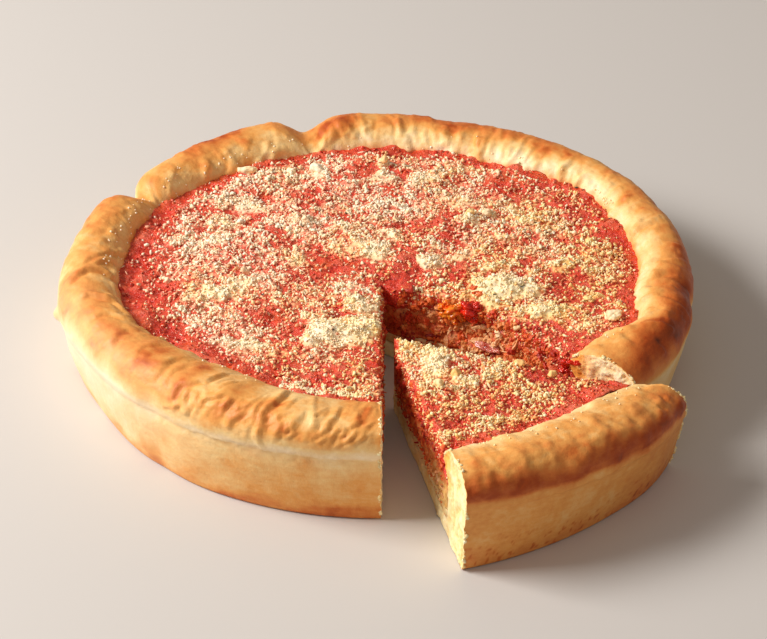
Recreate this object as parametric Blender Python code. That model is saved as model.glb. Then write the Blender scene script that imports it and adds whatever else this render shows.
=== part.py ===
"""A round deep dish pizza with one slice drawn part of the way out of its gap.

Blender 4.5, metres, +Z up. The origin is the middle of the box around everything, on the surface that
the pizza stands on, and -Y is the side that the slice comes out of.

Every solid is a loft of upright sections that fan out from a cut point, the upright line where two knife
cuts meet, so the two cut faces are true sections. Angles are in degrees, anticlockwise from +X as seen
from above. The rim's sizes are given at stations round it, and radii are about the rim's centre.
"""

from math import atan2, cos, degrees, exp, floor, pi, radians, sin, sqrt

import bmesh
import bpy
from mathutils import Vector

MM = 0.001

# Where the pizza and the slice stand
RIM_CENTRE = Vector((0.0010, 0.0150, 0.0))
CUT_POINT = Vector((0.0010, -0.0090, 0.0))  # from the rim's centre
CUT_ANGLES = (-36.2, 270.0)  # the pizza that stays put runs between these
SLICE_TIP = Vector((-0.0004, -0.0145, 0.0))  # from the centre of the slice's own rim
SLICE_ANGLES = (270.0, 327.0)
SLICE_PLACE = Vector((0.0060, -0.0485, 0.0))  # the tip, from the rim's centre
SLICE_TURN = 13.5

# Stations round the rim, in degrees and mm: angle, foot radius, widest radius, sauce radius, crest height
PIZZA_RIM = (
    (-37, 121.5, 128.0, 97.0, 40.0),
    (-29, 122.0, 129.0, 99.5, 42.0),
    (-22, 122.0, 129.0, 108.5, 42.0),
    (-8, 121.5, 128.5, 103.5, 42.0),
    (5, 121.0, 128.0, 107.0, 41.5),
    (20, 120.5, 128.0, 106.0, 41.5),
    (36, 120.5, 127.5, 108.0, 41.0),
    (54, 120.5, 126.5, 102.0, 41.0),
    (75, 120.5, 125.5, 100.8, 40.2),
    (94, 120.5, 126.5, 100.5, 41.5),
    (118, 121.0, 127.0, 99.5, 42.0),
    (132, 120.0, 126.0, 101.0, 41.5),
    (146, 119.0, 125.5, 104.0, 41.5),
    (156, 120.5, 128.0, 104.7, 42.5),
    (172, 122.0, 128.8, 105.0, 42.5),
    (190, 124.5, 131.0, 105.2, 42.0),
    (206, 122.0, 128.0, 101.5, 43.0),
    (220, 122.8, 128.0, 94.5, 44.5),
    (234, 123.2, 128.0, 90.5, 45.0),
    (250, 122.6, 127.0, 92.0, 44.5),
    (271, 122.2, 125.5, 92.5, 43.5),
)
SLICE_RIM = (
    (268, 122.6, 125.5, 92.5, 43.5),
    (285, 121.0, 126.0, 91.5, 43.5),
    (300, 121.0, 127.0, 94.0, 42.0),
    (312, 122.5, 128.5, 96.0, 39.5),
    (322, 122.0, 127.0, 103.0, 36.5),
    (330, 121.0, 123.5, 106.0, 35.0),
)
# Where one length of dough ends on the next: (angle, depth, half width before it, half width after it)
PINCHES = (
    (-9.0, 0.0012, 3.0, 2.0),
    (106.8, 0.0070, 5.0, 3.6),
    (151.5, 0.0078, 3.2, 4.0),
    (227.0, 0.0012, 3.0, 5.0),
)
BULGE_HEIGHT = 0.0300
FRONT_BULGE_RISE = 0.0045
LIP_DEPTH = 0.0052  # from the widest line down to the crease under it
LIP_OVERHANG = 0.0012
FOOT_ROUND = 0.0010

# The layers, from the bottom up
DOUGH_TOP = 0.0070
CHEESE_TOP = 0.0112
SAUSAGE_TOP = 0.0245
SAUCE_TOP = 0.0335
LAYER_GAP = 0.0003
SIDE_GAP = 0.0005
SAUCE_UNEVENNESS = 0.0008

# The filling has fallen back from the pizza's right-hand cut, and slopes down towards it
CAVED_DEPTH = 0.0118
CAVED_FOOT_SHARE = 0.35
CAVED_SPAN = (0.008, 0.091)  # from the cut point
CAVED_BLEND = 0.30  # the share of the way round over which the shift fades out
SLUMP = 0.0030

# Chunks of tomato lodged in the caved edge: middle from the cut point, half sizes
TOMATO_CHUNKS = (
    (Vector((0.0360, -0.0136, 0.0294)), Vector((0.0042, 0.0035, 0.0042))),
    (Vector((0.0288, -0.0104, 0.0284)), Vector((0.0034, 0.0032, 0.0032))),
)
CHUNK_LUMPS = 0.08  # of its size
CHUNK_CLEARANCE = 0.0004
# A flat flake of hard cheese on the sauce, near the rim
FLAKE_AT = (0.0955, -15.5)  # distance and angle from the cut point
FLAKE_SIZE = (0.0044, 0.0033, 0.0012)
FLAKE_TURN = 55.0
FLAKE_LIFT = 0.0007

SECTION_STEP = 3.7
FINE_STEP = 1.9  # near a pinch
RIM_STEPS = 5
SAUCE_RINGS = 7
LAYER_RINGS = 4

CRUST_COLOUR = (0.72, 0.44, 0.17)
CHEESE_COLOUR = (0.88, 0.76, 0.50)
SAUSAGE_COLOUR = (0.42, 0.15, 0.06)
SAUCE_COLOUR = (0.50, 0.05, 0.02)
TOMATO_COLOUR = (0.62, 0.05, 0.01)
FLAKE_COLOUR = (0.90, 0.82, 0.62)


def clear_scene():
    for obj in list(bpy.data.objects):
        bpy.data.objects.remove(obj)


def bump(angle, middle, before, after):
    """1 at the middle and falling off in a smooth bell, with its own half width on each side."""
    return exp(-(((angle - middle) / (before if angle < middle else after)) ** 2))


def between_stations(stations, angle):
    """The station sizes at this angle, on a smooth curve through the stations."""
    angle = min(max(angle, stations[0][0]), stations[-1][0])
    at = max(i for i in range(len(stations) - 1) if stations[i][0] <= angle)
    before = stations[max(at - 1, 0)]
    first, second = stations[at], stations[at + 1]
    after = stations[min(at + 2, len(stations) - 1)]
    span = second[0] - first[0]
    t = (angle - first[0]) / span
    sizes = []
    for k in range(1, len(first)):
        slope_1 = (second[k] - before[k]) / (second[0] - before[0]) * span
        slope_2 = (after[k] - first[k]) / (after[0] - first[0]) * span
        value = (2 * t**3 - 3 * t**2 + 1) * first[k] + (t**3 - 2 * t**2 + t) * slope_1
        value += (-2 * t**3 + 3 * t**2) * second[k] + (t**3 - t**2) * slope_2
        sizes.append(value * MM)
    return sizes


def rim_at(stations, angle):
    """The rim's sizes at this angle about the rim's centre."""
    foot, widest, inner, height = between_stations(stations, angle)
    pinch = sum(depth * bump(angle, at, before, after) for at, depth, before, after in PINCHES)
    front = bump(angle, 255.0, 45.0, 45.0)
    widest_height = BULGE_HEIGHT + FRONT_BULGE_RISE * front - 0.0025 * bump(angle, 192.0, 12.0, 14.0)
    widest_height = min(widest_height, height - 0.0075)
    widest -= pinch
    crest_share = 0.56 + 0.16 * front
    return {
        "foot": foot - 0.5 * pinch,
        "widest": (widest, widest_height),
        "crest": (inner + crest_share * (widest - inner), height - 0.8 * pinch),
        "inner": (inner, SAUCE_TOP - 0.003),
        "inner_power": 1.0 + 0.4 * front,
    }


def half_arc(start, end, power):
    """The points between the start, where a rounded quarter is upright, and its level end."""
    points = []
    for i in range(1, RIM_STEPS + 1):
        turn = i / (RIM_STEPS + 1) * pi / 2
        across, up = 1 - cos(turn), sin(turn) ** power
        points.append((start[0] + (end[0] - start[0]) * across, start[1] + (end[1] - start[1]) * up))
    return points


def rim_profile(rim):
    """(radius, height) from the wall's foot over the crest to the sauce's edge."""
    foot, widest = rim["foot"], rim["widest"]
    crease = (widest[0] - LIP_OVERHANG, widest[1] - LIP_DEPTH)
    points = [(foot - FOOT_ROUND, 0.0), (foot, 1.4 * FOOT_ROUND)]
    for share in (1 / 3, 2 / 3, 1):
        points.append((foot + (crease[0] - foot) * share, crease[1] * share + 1.4 * FOOT_ROUND * (1 - share)))
    points.append(widest)
    points += half_arc(widest, rim["crest"], 0.9)
    points.append(rim["crest"])
    points += reversed(half_arc(rim["inner"], rim["crest"], rim["inner_power"]))
    points.append(rim["inner"])
    return points


def pocket_profile(rim):
    """(radius, height) of the dough's inside, from under the sauce's edge down to its flat bottom."""
    inner = rim["inner"][0]
    wall = 0.5 * inner + 0.5 * (rim["foot"] - 0.0130)
    return [(wall - 0.0005, 0.0240), (wall, 0.0165), (wall - 0.0006, 0.0108), (wall - 0.0024, DOUGH_TOP)]


def pocket_radius(rim, height):
    """The radius of the dough's inside at this height."""
    points = [rim["inner"]] + pocket_profile(rim)
    for (r0, z0), (r1, z1) in zip(points, points[1:]):
        if z1 <= height <= z0:
            return r1 + (r0 - r1) * (height - z1) / (z0 - z1)
    top = rim["crest"]
    share = (height - points[0][1]) / (top[1] - points[0][1])
    return points[0][0] + (top[0] - points[0][0]) * 0.18 * share


def reach(radius, angle, point):
    """The distance from the cut point, at this angle, to the circle of this radius about the rim's centre."""
    along = point.x * cos(radians(angle)) + point.y * sin(radians(angle))
    return -along + sqrt(radius**2 - point.length_squared + along**2)


def angle_on_rim(angle, point):
    """The angle about the rim's centre where a line from the cut point meets the rim."""
    distance = reach(0.120, angle, point)
    x = point.x + distance * cos(radians(angle))
    y = point.y + distance * sin(radians(angle))
    round_angle = degrees(atan2(y, x))
    return round_angle + 360 * floor((angle - round_angle) / 360 + 0.5)


def section_angles(first, last):
    """Angles from first to last, closer together near a pinch."""
    angles = [first]
    while angles[-1] < last:
        at = angles[-1]
        near = any(-1.2 * before < at - middle < 2.0 * after for middle, _, before, after in PINCHES)
        angles.append(at + (FINE_STEP if near else SECTION_STEP))
    stretch = (last - first) / (angles[-1] - first)
    return [first + (angle - first) * stretch for angle in angles]


def placed(distance, angle, height):
    return Vector((distance * cos(radians(angle)), distance * sin(radians(angle)), height))


def caved_share(distance):
    """0 to 1: how strongly the filling at this distance from the cut point has fallen back."""
    low, high = CAVED_SPAN
    share = min(max((distance - low) / (high - low), 0.0), 1.0)
    return sin(pi * share**0.85) ** 0.8


def caved(distance, angle, height, span):
    """The shift of a point of the filling away from the first cut."""
    fade = 1 - (angle - span[0]) / (span[1] - span[0]) / CAVED_BLEND
    if fade <= 0:
        return Vector((0, 0, 0))
    share = CAVED_FOOT_SHARE + (1 - CAVED_FOOT_SHARE) * min(height / SAUSAGE_TOP, 1.0)
    back = CAVED_DEPTH * share * caved_share(distance) * fade
    rise = max(0.0, (height - SAUSAGE_TOP - LAYER_GAP) / (SAUCE_TOP - SAUSAGE_TOP))
    drop = SLUMP * caved_share(distance) * max(0.0, 4 * fade - 3) * rise
    return Vector((-sin(radians(angle)) * back, cos(radians(angle)) * back, -drop))


def loft(name, rows):
    """A closed solid from sections that all stand on the cut point's upright line.

    Each row is one section, from the line's bottom end round to its top end. The two end points are the
    same in every row, and the first and last rows are closed with a face each.
    """
    mesh = bpy.data.meshes.new(name)
    bm = bmesh.new()
    foot = bm.verts.new(rows[0][0])
    head = bm.verts.new(rows[0][-1])
    rings = [[foot] + [bm.verts.new(point) for point in row[1:-1]] + [head] for row in rows]
    for ring, following in zip(rings, rings[1:]):
        for i in range(len(ring) - 1):
            corners = [ring[i], following[i], following[i + 1], ring[i + 1]]
            bm.faces.new(list(dict.fromkeys(corners)))
    bm.faces.new(rings[0])
    bm.faces.new(reversed(rings[-1]))
    bm.normal_update()
    bmesh.ops.triangulate(bm, faces=bm.faces, quad_method="BEAUTY", ngon_method="BEAUTY")
    bmesh.ops.recalc_face_normals(bm, faces=bm.faces)
    bm.to_mesh(mesh)
    bm.free()
    return mesh


def crust_mesh(name, stations, point, span):
    """The dough: flat bottom, leaning wall, rolled rim and the inside that the filling lies in."""
    rows = []
    for angle in section_angles(*span):
        rim = rim_at(stations, angle_on_rim(angle, point))
        row = [Vector((0, 0, 0))]
        for radius, height in rim_profile(rim) + pocket_profile(rim):
            row.append(placed(reach(radius, angle, point), angle, height))
        row.append(Vector((0, 0, DOUGH_TOP)))
        rows.append(row)
    return loft(name, rows)


def sauce_height(distance, angle):
    """The sauce's top, which is spread by spoon and so uneven."""
    x = distance * cos(radians(angle))
    y = distance * sin(radians(angle))
    ripple = sin(95 * x + 1.3) * sin(80 * y + 0.4) + 0.6 * sin(170 * x - 120 * y + 2.0)
    return SAUCE_TOP + SAUCE_UNEVENNESS * ripple * min(1.0, distance / 0.02)


def flat_height(height):
    return lambda distance, angle: height


def layer_mesh(name, stations, point, span, bottom, top, rings, top_height, caves):
    """A layer of the filling, out to the dough, with the tops of its rings at top_height."""
    rows = []
    for angle in section_angles(*span):
        rim = rim_at(stations, angle_on_rim(angle, point))
        foot_reach = reach(pocket_radius(rim, bottom) - SIDE_GAP, angle, point)
        head_reach = reach(pocket_radius(rim, top) - SIDE_GAP, angle, point)
        row = [(foot_reach * i / rings, bottom) for i in range(1, rings + 1)]
        for radius, height in reversed([rim["inner"]] + pocket_profile(rim)):
            if bottom + LAYER_GAP < height < top - LAYER_GAP:
                row.append((reach(radius - SIDE_GAP, angle, point), height))
        for i in range(rings, 0, -1):
            distance = head_reach * i / rings
            row.append((distance, top_height(distance, angle)))
        placed_row = [placed(d, angle, z) for d, z in row]
        if caves:
            placed_row = [p + caved(d, angle, z, span) for p, (d, z) in zip(placed_row, row)]
        rows.append([Vector((0, 0, bottom))] + placed_row + [Vector((0, 0, top_height(0.0, angle)))])
    return loft(name, rows)


def chunk_mesh(name, middle, half_sizes, growth, phase):
    """A rounded, lumpy chunk."""
    mesh = bpy.data.meshes.new(name)
    bm = bmesh.new()
    bmesh.ops.create_icosphere(bm, subdivisions=2, radius=1.0)
    for vert in bm.verts:
        x, y, z = vert.co
        lump = 1 + CHUNK_LUMPS * (sin(3 * x + phase) * cos(2.5 * y) + sin(4 * z - 2 * y + phase))
        vert.co = middle + Vector([(half + growth) * c * lump for half, c in zip(half_sizes, vert.co)])
    bm.to_mesh(mesh)
    bm.free()
    return mesh


def flake_mesh(name):
    """A thin flat flake with seven uneven sides."""
    distance, angle = FLAKE_AT
    middle = placed(distance, angle, sauce_height(distance, angle) + FLAKE_LIFT)
    length, width, thickness = FLAKE_SIZE
    mesh = bpy.data.meshes.new(name)
    bm = bmesh.new()
    outline = []
    for i in range(7):
        turn = i / 7 * 2 * pi
        x, y = length * (1 + 0.12 * sin(5 * turn)) * cos(turn), width * (1 + 0.1 * cos(3 * turn)) * sin(turn)
        c, s = cos(radians(FLAKE_TURN)), sin(radians(FLAKE_TURN))
        outline.append(middle + Vector((x * c - y * s, x * s + y * c, 0)))
    low = [bm.verts.new(point) for point in outline]
    high = [bm.verts.new(point + Vector((0, 0, thickness))) for point in outline]
    bm.faces.new(reversed(low))
    bm.faces.new(high)
    for i in range(7):
        bm.faces.new((low[i], low[(i + 1) % 7], high[(i + 1) % 7], high[i]))
    bmesh.ops.recalc_face_normals(bm, faces=bm.faces)
    bm.to_mesh(mesh)
    bm.free()
    return mesh


def material(name, colour, roughness):
    made = bpy.data.materials.new(name)
    made.use_nodes = True
    shader = made.node_tree.nodes["Principled BSDF"]
    shader.inputs["Base Color"].default_value = (*colour, 1)
    shader.inputs["Roughness"].default_value = roughness
    shader.inputs["Metallic"].default_value = 0.0
    return made


def add(name, mesh, finish, parent, collection):
    mesh.materials.append(finish)
    mesh.shade_smooth()
    mesh.set_sharp_from_angle(angle=radians(35))
    obj = bpy.data.objects.new(name, mesh)
    obj.parent = parent
    collection.objects.link(obj)
    return obj


def cut_pocket(target, cutter_mesh, parent, cutters):
    """Take the cutter's shape out of the target."""
    cutter = bpy.data.objects.new(cutter_mesh.name, cutter_mesh)
    cutter.parent = parent
    cutter.hide_render = True
    cutter.display_type = "WIRE"
    cutters.objects.link(cutter)
    pocket = target.modifiers.new(cutter.name, "BOOLEAN")
    pocket.operation = "DIFFERENCE"
    pocket.solver = "EXACT"
    pocket.object = cutter


def empty(name, location, turn, collection):
    made = bpy.data.objects.new(name, None)
    made.location = location
    made.rotation_euler = (0, 0, radians(turn))
    collection.objects.link(made)
    return made


def build():
    clear_scene()
    collection = bpy.data.collections.new("deep_dish_pizza")
    bpy.context.scene.collection.children.link(collection)
    crust = material("baked_dough", CRUST_COLOUR, 0.6)
    cheese = material("melted_cheese", CHEESE_COLOUR, 0.45)
    sausage = material("crumbled_sausage", SAUSAGE_COLOUR, 0.6)
    sauce = material("tomato_sauce", SAUCE_COLOUR, 0.35)
    tomato = material("tomato_pulp", TOMATO_COLOUR, 0.3)
    flake = material("grated_cheese", FLAKE_COLOUR, 0.7)
    cutters = bpy.data.collections.new("cutters")
    bpy.context.scene.collection.children.link(cutters)

    layers = (
        ("cheese", cheese, DOUGH_TOP + LAYER_GAP, CHEESE_TOP, LAYER_RINGS, flat_height(CHEESE_TOP)),
        ("sausage", sausage, CHEESE_TOP + LAYER_GAP, SAUSAGE_TOP, LAYER_RINGS, flat_height(SAUSAGE_TOP)),
        ("sauce", sauce, SAUSAGE_TOP + LAYER_GAP, SAUCE_TOP, SAUCE_RINGS, sauce_height),
    )
    whole = empty("pizza_place", RIM_CENTRE + CUT_POINT, 0.0, collection)
    slice_ = empty("slice_place", RIM_CENTRE + SLICE_PLACE, SLICE_TURN, collection)
    made = {}
    for prefix, parent, stations, point, span in (
        ("pizza", whole, PIZZA_RIM, CUT_POINT, CUT_ANGLES),
        ("slice", slice_, SLICE_RIM, SLICE_TIP, SLICE_ANGLES),
    ):
        name = f"{prefix}_crust"
        add(name, crust_mesh(name, stations, point, span), crust, parent, collection)
        for layer, finish, bottom, top, rings, top_height in layers:
            name = f"{prefix}_{layer}"
            caves = prefix == "pizza"
            mesh = layer_mesh(name, stations, point, span, bottom, top, rings, top_height, caves)
            made[name] = add(name, mesh, finish, parent, collection)

    for number, (middle, half_sizes) in enumerate(TOMATO_CHUNKS, start=1):
        name = f"tomato_chunk_{number}"
        add(name, chunk_mesh(name, middle, half_sizes, 0.0, number), tomato, whole, collection)
        cutter = chunk_mesh(f"{name}_pocket", middle, half_sizes, CHUNK_CLEARANCE, number)
        cut_pocket(made["pizza_sauce"], cutter, whole, cutters)
    add("cheese_flake", flake_mesh("cheese_flake"), flake, whole, collection)


build()
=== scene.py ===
"""The looks of a deep dish pizza with one slice drawn part of the way out of its gap.

Lengths are in metres where no comment says mm. Angles are in degrees, anticlockwise from +X as seen from
above. Each crust and each layer is made of upright sections that fan out from a cut point, on the same
sizes as the solids.
"""

from collections import namedtuple
from math import cos, pi, radians, sin

import bmesh
import bpy
import numpy as np
from mathutils import Matrix, Vector, geometry
from mathutils.bvhtree import BVHTree


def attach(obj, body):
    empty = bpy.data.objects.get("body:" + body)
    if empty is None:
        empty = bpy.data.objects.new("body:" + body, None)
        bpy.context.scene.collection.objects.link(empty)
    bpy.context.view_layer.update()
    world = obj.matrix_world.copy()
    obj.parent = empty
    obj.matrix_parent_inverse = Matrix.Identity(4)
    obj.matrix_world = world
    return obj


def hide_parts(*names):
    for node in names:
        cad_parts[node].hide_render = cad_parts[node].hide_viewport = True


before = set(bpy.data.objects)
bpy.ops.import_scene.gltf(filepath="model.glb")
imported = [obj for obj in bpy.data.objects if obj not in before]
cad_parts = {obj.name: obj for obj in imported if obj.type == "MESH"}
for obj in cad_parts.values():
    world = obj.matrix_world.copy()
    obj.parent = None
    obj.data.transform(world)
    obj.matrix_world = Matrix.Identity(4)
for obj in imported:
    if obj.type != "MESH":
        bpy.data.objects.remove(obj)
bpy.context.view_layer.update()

MM = 0.001
IN_MM = 1000

# ---------------------------------------------------------------- sizes, as in the solids
RIM_CENTRE = np.array((0.0010, 0.0150, 0.0))
CUT_POINT = np.array((0.0010, -0.0090, 0.0))
CUT_ANGLES = (-36.2, 270.0)
SLICE_TIP = np.array((-0.0004, -0.0145, 0.0))
SLICE_ANGLES = (270.0, 327.0)
SLICE_PLACE = np.array((0.0060, -0.0485, 0.0))
SLICE_TURN = 13.5
# Angle, then foot radius, widest radius, sauce radius and crest height in mm
PIZZA_RIM = (
    (-37, 121.5, 128.0, 97.0, 40.0), (-29, 122.0, 129.0, 99.5, 42.0), (-22, 122.0, 129.0, 108.5, 42.0),
    (-8, 121.5, 128.5, 103.5, 42.0), (5, 121.0, 128.0, 107.0, 41.5), (20, 120.5, 128.0, 106.0, 41.5),
    (36, 120.5, 127.5, 108.0, 41.0), (54, 120.5, 126.5, 102.0, 41.0), (75, 120.5, 125.5, 100.8, 40.2),
    (94, 120.5, 126.5, 100.5, 41.5), (118, 121.0, 127.0, 99.5, 42.0), (132, 120.0, 126.0, 101.0, 41.5),
    (146, 119.0, 125.5, 104.0, 41.5), (156, 120.5, 128.0, 104.7, 42.5), (172, 122.0, 128.8, 105.0, 42.5),
    (190, 124.5, 131.0, 105.2, 42.0), (206, 122.0, 128.0, 101.5, 43.0), (220, 122.8, 128.0, 94.5, 44.5),
    (234, 123.2, 128.0, 90.5, 45.0), (250, 122.6, 127.0, 92.0, 44.5), (271, 122.2, 125.5, 92.5, 43.5),
)
SLICE_RIM = (
    (268, 122.6, 125.5, 92.5, 43.5), (285, 121.0, 126.0, 91.5, 43.5), (300, 121.0, 127.0, 94.0, 42.0),
    (312, 122.5, 128.5, 96.0, 39.5), (322, 122.0, 127.0, 103.0, 36.5), (330, 121.0, 123.5, 106.0, 35.0),
)
# Where the rim is pinched in: angle, depth, and spread before and after it in degrees
PINCHES = (
    (-9.0, 0.0012, 3.0, 2.0), (106.8, 0.0070, 5.0, 3.6),
    (151.5, 0.0078, 3.2, 4.0), (227.0, 0.0012, 3.0, 5.0),
)
BULGE_HEIGHT = 0.0300
FRONT_BULGE_RISE = 0.0045
LIP_DEPTH = 0.0052
LIP_OVERHANG = 0.0012
FOOT_ROUND = 0.0010
FOOT_RISE = 1.4 * FOOT_ROUND
DOUGH_TOP = 0.0070
CHEESE_TOP = 0.0112
SAUSAGE_TOP = 0.0245
SAUCE_TOP = 0.0335
RIM_START = SAUCE_TOP - 0.003
LAYER_GAP = 0.0003
SIDE_GAP = 0.0005
SAUCE_UNEVENNESS = 0.0008
CAVED_DEPTH = 0.0118
CAVED_FOOT_SHARE = 0.35
CAVED_SPAN = (0.008, 0.091)
CAVED_BLEND = 0.30
SLUMP = 0.0030
# Further than any food lies from a cut point, and higher than any
FURTHEST = 0.125
ABOVE_ALL = 0.08
# How far apart the rows of a grid of even triangles are, as a share of its step
ROW_SHARE = 0.87
# Heaps of grated cheese, many of them at places measured on the photo by separate scripts: x and y from
# the rim's centre, half width, half depth and height in mm
PIZZA_HEAPS = (
    (-14, -45, 13, 7.5, 3.0), (-27, -52, 7, 4, 1.5), (-6, -38, 7, 6, 2.2), (-6, -24, 9, 6, 1.7),
    (-50, -53, 12, 5, 1.4), (-62, -50, 6, 4, 0.9), (-62, -15, 11, 6, 1.4), (-73, -20, 6, 3, 1.1),
    (-68, 24, 9, 5, 1.1), (-67, 39, 12, 7, 1.0), (-55, -9, 8, 5, 1.2), (1.5, 85, 4, 4, 1.4),
    (-56, 52, 13, 8, 1.1), (-31, 38, 8, 5, 1.2), (-14, 36, 7, 5, 1.1), (-3, 17, 8, 9, 1.9),
    (5, 30, 6, 3, 1.6), (-14, 20, 6, 3, 0.9), (-26, 80, 4, 3.5, 1.5), (-38, 79, 3, 2, 1.0),
    (2, 74, 8, 5, 1.1), (-10, 70, 6, 4, 0.9), (20, 74, 9, 5, 1.3), (34, 56, 8, 6, 1.2),
    (38, 41, 5, 4, 1.5), (46, 44, 3, 3, 1.2), (58, 48, 4, 5, 1.1), (63, 40, 6, 5, 1.0),
    (52, 27, 6, 4, 1.0), (64, 16, 5, 4, 1.0), (76, 3, 6, 5, 1.3), (86, 2, 5, 3, 1.0),
    (76, 14, 5, 4, 1.0), (20, 8, 6, 5, 1.3), (33, 14, 8, 4, 1.1), (50, -13, 13, 7.5, 3.2),
    (66, -28, 10, 5, 2.1), (48, 4, 8, 3, 1.4), (86, -19, 6, 4, 1.1), (-36, 8, 9, 5, 0.8),
)
# Places with little cheese: x, y, radius in mm
PIZZA_BARE = (
    (12, 17, 6), (5, -8, 7), (18, 36, 5), (52, 68, 8), (77, 55, 7), (72, -47, 9), (88, -55, 7),
    (99, -15, 5), (-20, -73, 9), (-40, 24, 6), (-22, 0, 7), (-44, -34, 7), (-30, 62, 5), (60, 8, 5),
    (76, 25, 5), (28, 27, 5),
)
# The same on the slice, before it is drawn out and turned
SLICE_HEAPS = (
    (10, -36, 6, 8, 2.0), (12, -27, 6, 5, 1.4), (8, -22, 5, 5, 1.2), (20, -50, 8, 5, 1.2),
    (52, -35, 4, 4, 1.5), (36, -29, 5, 3, 1.0), (25, -24, 5, 3, 0.9), (30, -48, 6, 4, 1.0),
    (12, -66, 8, 3, 0.8),
)
SLICE_BARE = ((50, -54, 9), (62, -50, 9), (71, -52, 9), (10, -77, 6), (34, -66, 6), (24, -70, 5))

# The pizza and its slice; banked and spread are how far in mm the sauce climbs and runs out on the crust
Part = namedtuple("Part", "prefix stations point span place turn heaps bare banked spread")
PIZZA = Part(
    "pizza", PIZZA_RIM, CUT_POINT, CUT_ANGLES, RIM_CENTRE + CUT_POINT, 0.0,
    PIZZA_HEAPS, PIZZA_BARE, 0.35, 1.4,
)
SLICE = Part(
    "slice", SLICE_RIM, SLICE_TIP, SLICE_ANGLES, RIM_CENTRE + SLICE_PLACE, SLICE_TURN,
    SLICE_HEAPS, SLICE_BARE, 0.9, 2.4,
)

# ---------------------------------------------------------------- noise
CELLS = 64
chance = np.random.RandomState(11)
GRADIENTS = chance.normal(size=(CELLS, CELLS, CELLS, 3))
GRADIENTS /= np.linalg.norm(GRADIENTS, axis=3, keepdims=True)
SPOTS = chance.uniform(size=(CELLS, CELLS, CELLS, 3))


def at_cell(table, cell):
    """A table's entries for cells counted along x, y and z, round and round."""
    x, y, z = (cell & (CELLS - 1)).T
    return table[x, y, z]


def noise(points, cell, seed=0):
    """Smooth noise from about -1 to 1, with features about a cell across."""
    p = points / cell + seed * 13.37
    base = np.floor(p).astype(np.int64)
    f = p - base
    w = f * f * f * (f * (f * 6 - 15) + 10)
    total = np.zeros(len(p))
    for corner in np.ndindex(2, 2, 2):
        weight = np.prod(np.where(np.array(corner) == 1, w, 1 - w), axis=1)
        total += weight * ((f - corner) * at_cell(GRADIENTS, base + corner)).sum(axis=1)
    return total * 1.7


def layered(points, cell, octaves, seed=0):
    """Noise of several sizes, each half as wide and half as strong as the one before."""
    return sum(0.5**k * noise(points, cell / 2**k, seed + k * 3) for k in range(octaves))


def spot_distance(points, cell, seed=0):
    """The distance to the nearest of the spots scattered one to a cell, in cells."""
    p = points / cell + seed * 7.77
    base = np.floor(p).astype(np.int64)
    nearest = np.full(len(p), 9.0)
    for step in np.ndindex(3, 3, 3):
        at = base + np.array(step) - 1
        nearest = np.minimum(nearest, ((p - at - at_cell(SPOTS, at)) ** 2).sum(axis=1))
    return np.sqrt(nearest)


def smooth(low, high, value):
    """0 at low, 1 at high, and smooth between."""
    t = np.clip((value - low) / (high - low), 0, 1)
    return t * t * (3 - 2 * t)


def bell(value, middle, before, after=None):
    """1 at the middle, falling off over the spread before it and after it."""
    after = before if after is None else after
    return np.exp(-(((value - middle) / np.where(value < middle, before, after)) ** 2))


# ---------------------------------------------------------------- the solids' sizes at many angles
def between_stations(stations, angles):
    """The rim's sizes at each angle, on a smooth curve through the stations."""
    table = np.array(stations, float)
    angles = np.clip(angles, table[0, 0], table[-1, 0])
    at = np.clip(np.searchsorted(table[:, 0], angles, side="right") - 1, 0, len(table) - 2)
    before, first, second = table[np.maximum(at - 1, 0)], table[at], table[at + 1]
    after = table[np.minimum(at + 2, len(table) - 1)]
    span = (second - first)[:, :1]
    t = (angles[:, None] - first[:, :1]) / span
    slope_1 = (second - before) / (second - before)[:, :1] * span
    slope_2 = (after - first) / (after - first)[:, :1] * span
    value = (2 * t**3 - 3 * t**2 + 1) * first + (t**3 - 2 * t**2 + t) * slope_1
    value += (-2 * t**3 + 3 * t**2) * second + (t**3 - t**2) * slope_2
    return value[:, 1:].T * MM


def rim_at(stations, angles):
    """The sizes of the rim's section at each angle."""
    foot, widest, inner, height = between_stations(stations, angles)
    pinch = sum(depth * bell(angles, at, before, after) for at, depth, before, after in PINCHES)
    front = bell(angles, 255.0, 45.0)
    bulge = BULGE_HEIGHT + FRONT_BULGE_RISE * front - 0.0025 * bell(angles, 192.0, 12.0, 14.0)
    widest = widest - pinch
    return {
        "foot": foot - 0.5 * pinch,
        "widest": widest,
        "bulge": np.minimum(bulge, height - 0.0075),
        "crest": inner + (0.56 + 0.16 * front) * (widest - inner),
        "height": height - 0.8 * pinch,
        "inner": inner,
        "power": 1.0 + 0.4 * front,
    }


def pocket_points(rim):
    """Radii and heights down the side of the pocket that holds the filling."""
    wall = 0.5 * rim["inner"] + 0.5 * (rim["foot"] - 0.0130)
    ones = np.ones_like(wall)
    return [
        (rim["inner"], RIM_START * ones),
        (wall - 0.0005, 0.0240 * ones),
        (wall, 0.0165 * ones),
        (wall - 0.0006, 0.0108 * ones),
        (wall - 0.0024, DOUGH_TOP * ones),
    ]


def pocket_radius(rim, height):
    points = pocket_points(rim)
    if height > points[0][1][0]:
        share = (height - points[0][1]) / (rim["height"] - points[0][1])
        return points[0][0] + (rim["crest"] - points[0][0]) * 0.18 * share
    for (r0, z0), (r1, z1) in zip(points, points[1:]):
        if z1[0] <= height:
            return r1 + (r0 - r1) * (height - z1) / (z0 - z1)
    return points[-1][0]


def reach(radius, angles, point):
    """How far it is from a cut point to a circle about the rim's centre, at each angle."""
    along = point[0] * np.cos(np.radians(angles)) + point[1] * np.sin(np.radians(angles))
    return -along + np.sqrt(radius**2 - point[0] ** 2 - point[1] ** 2 + along**2)


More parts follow.
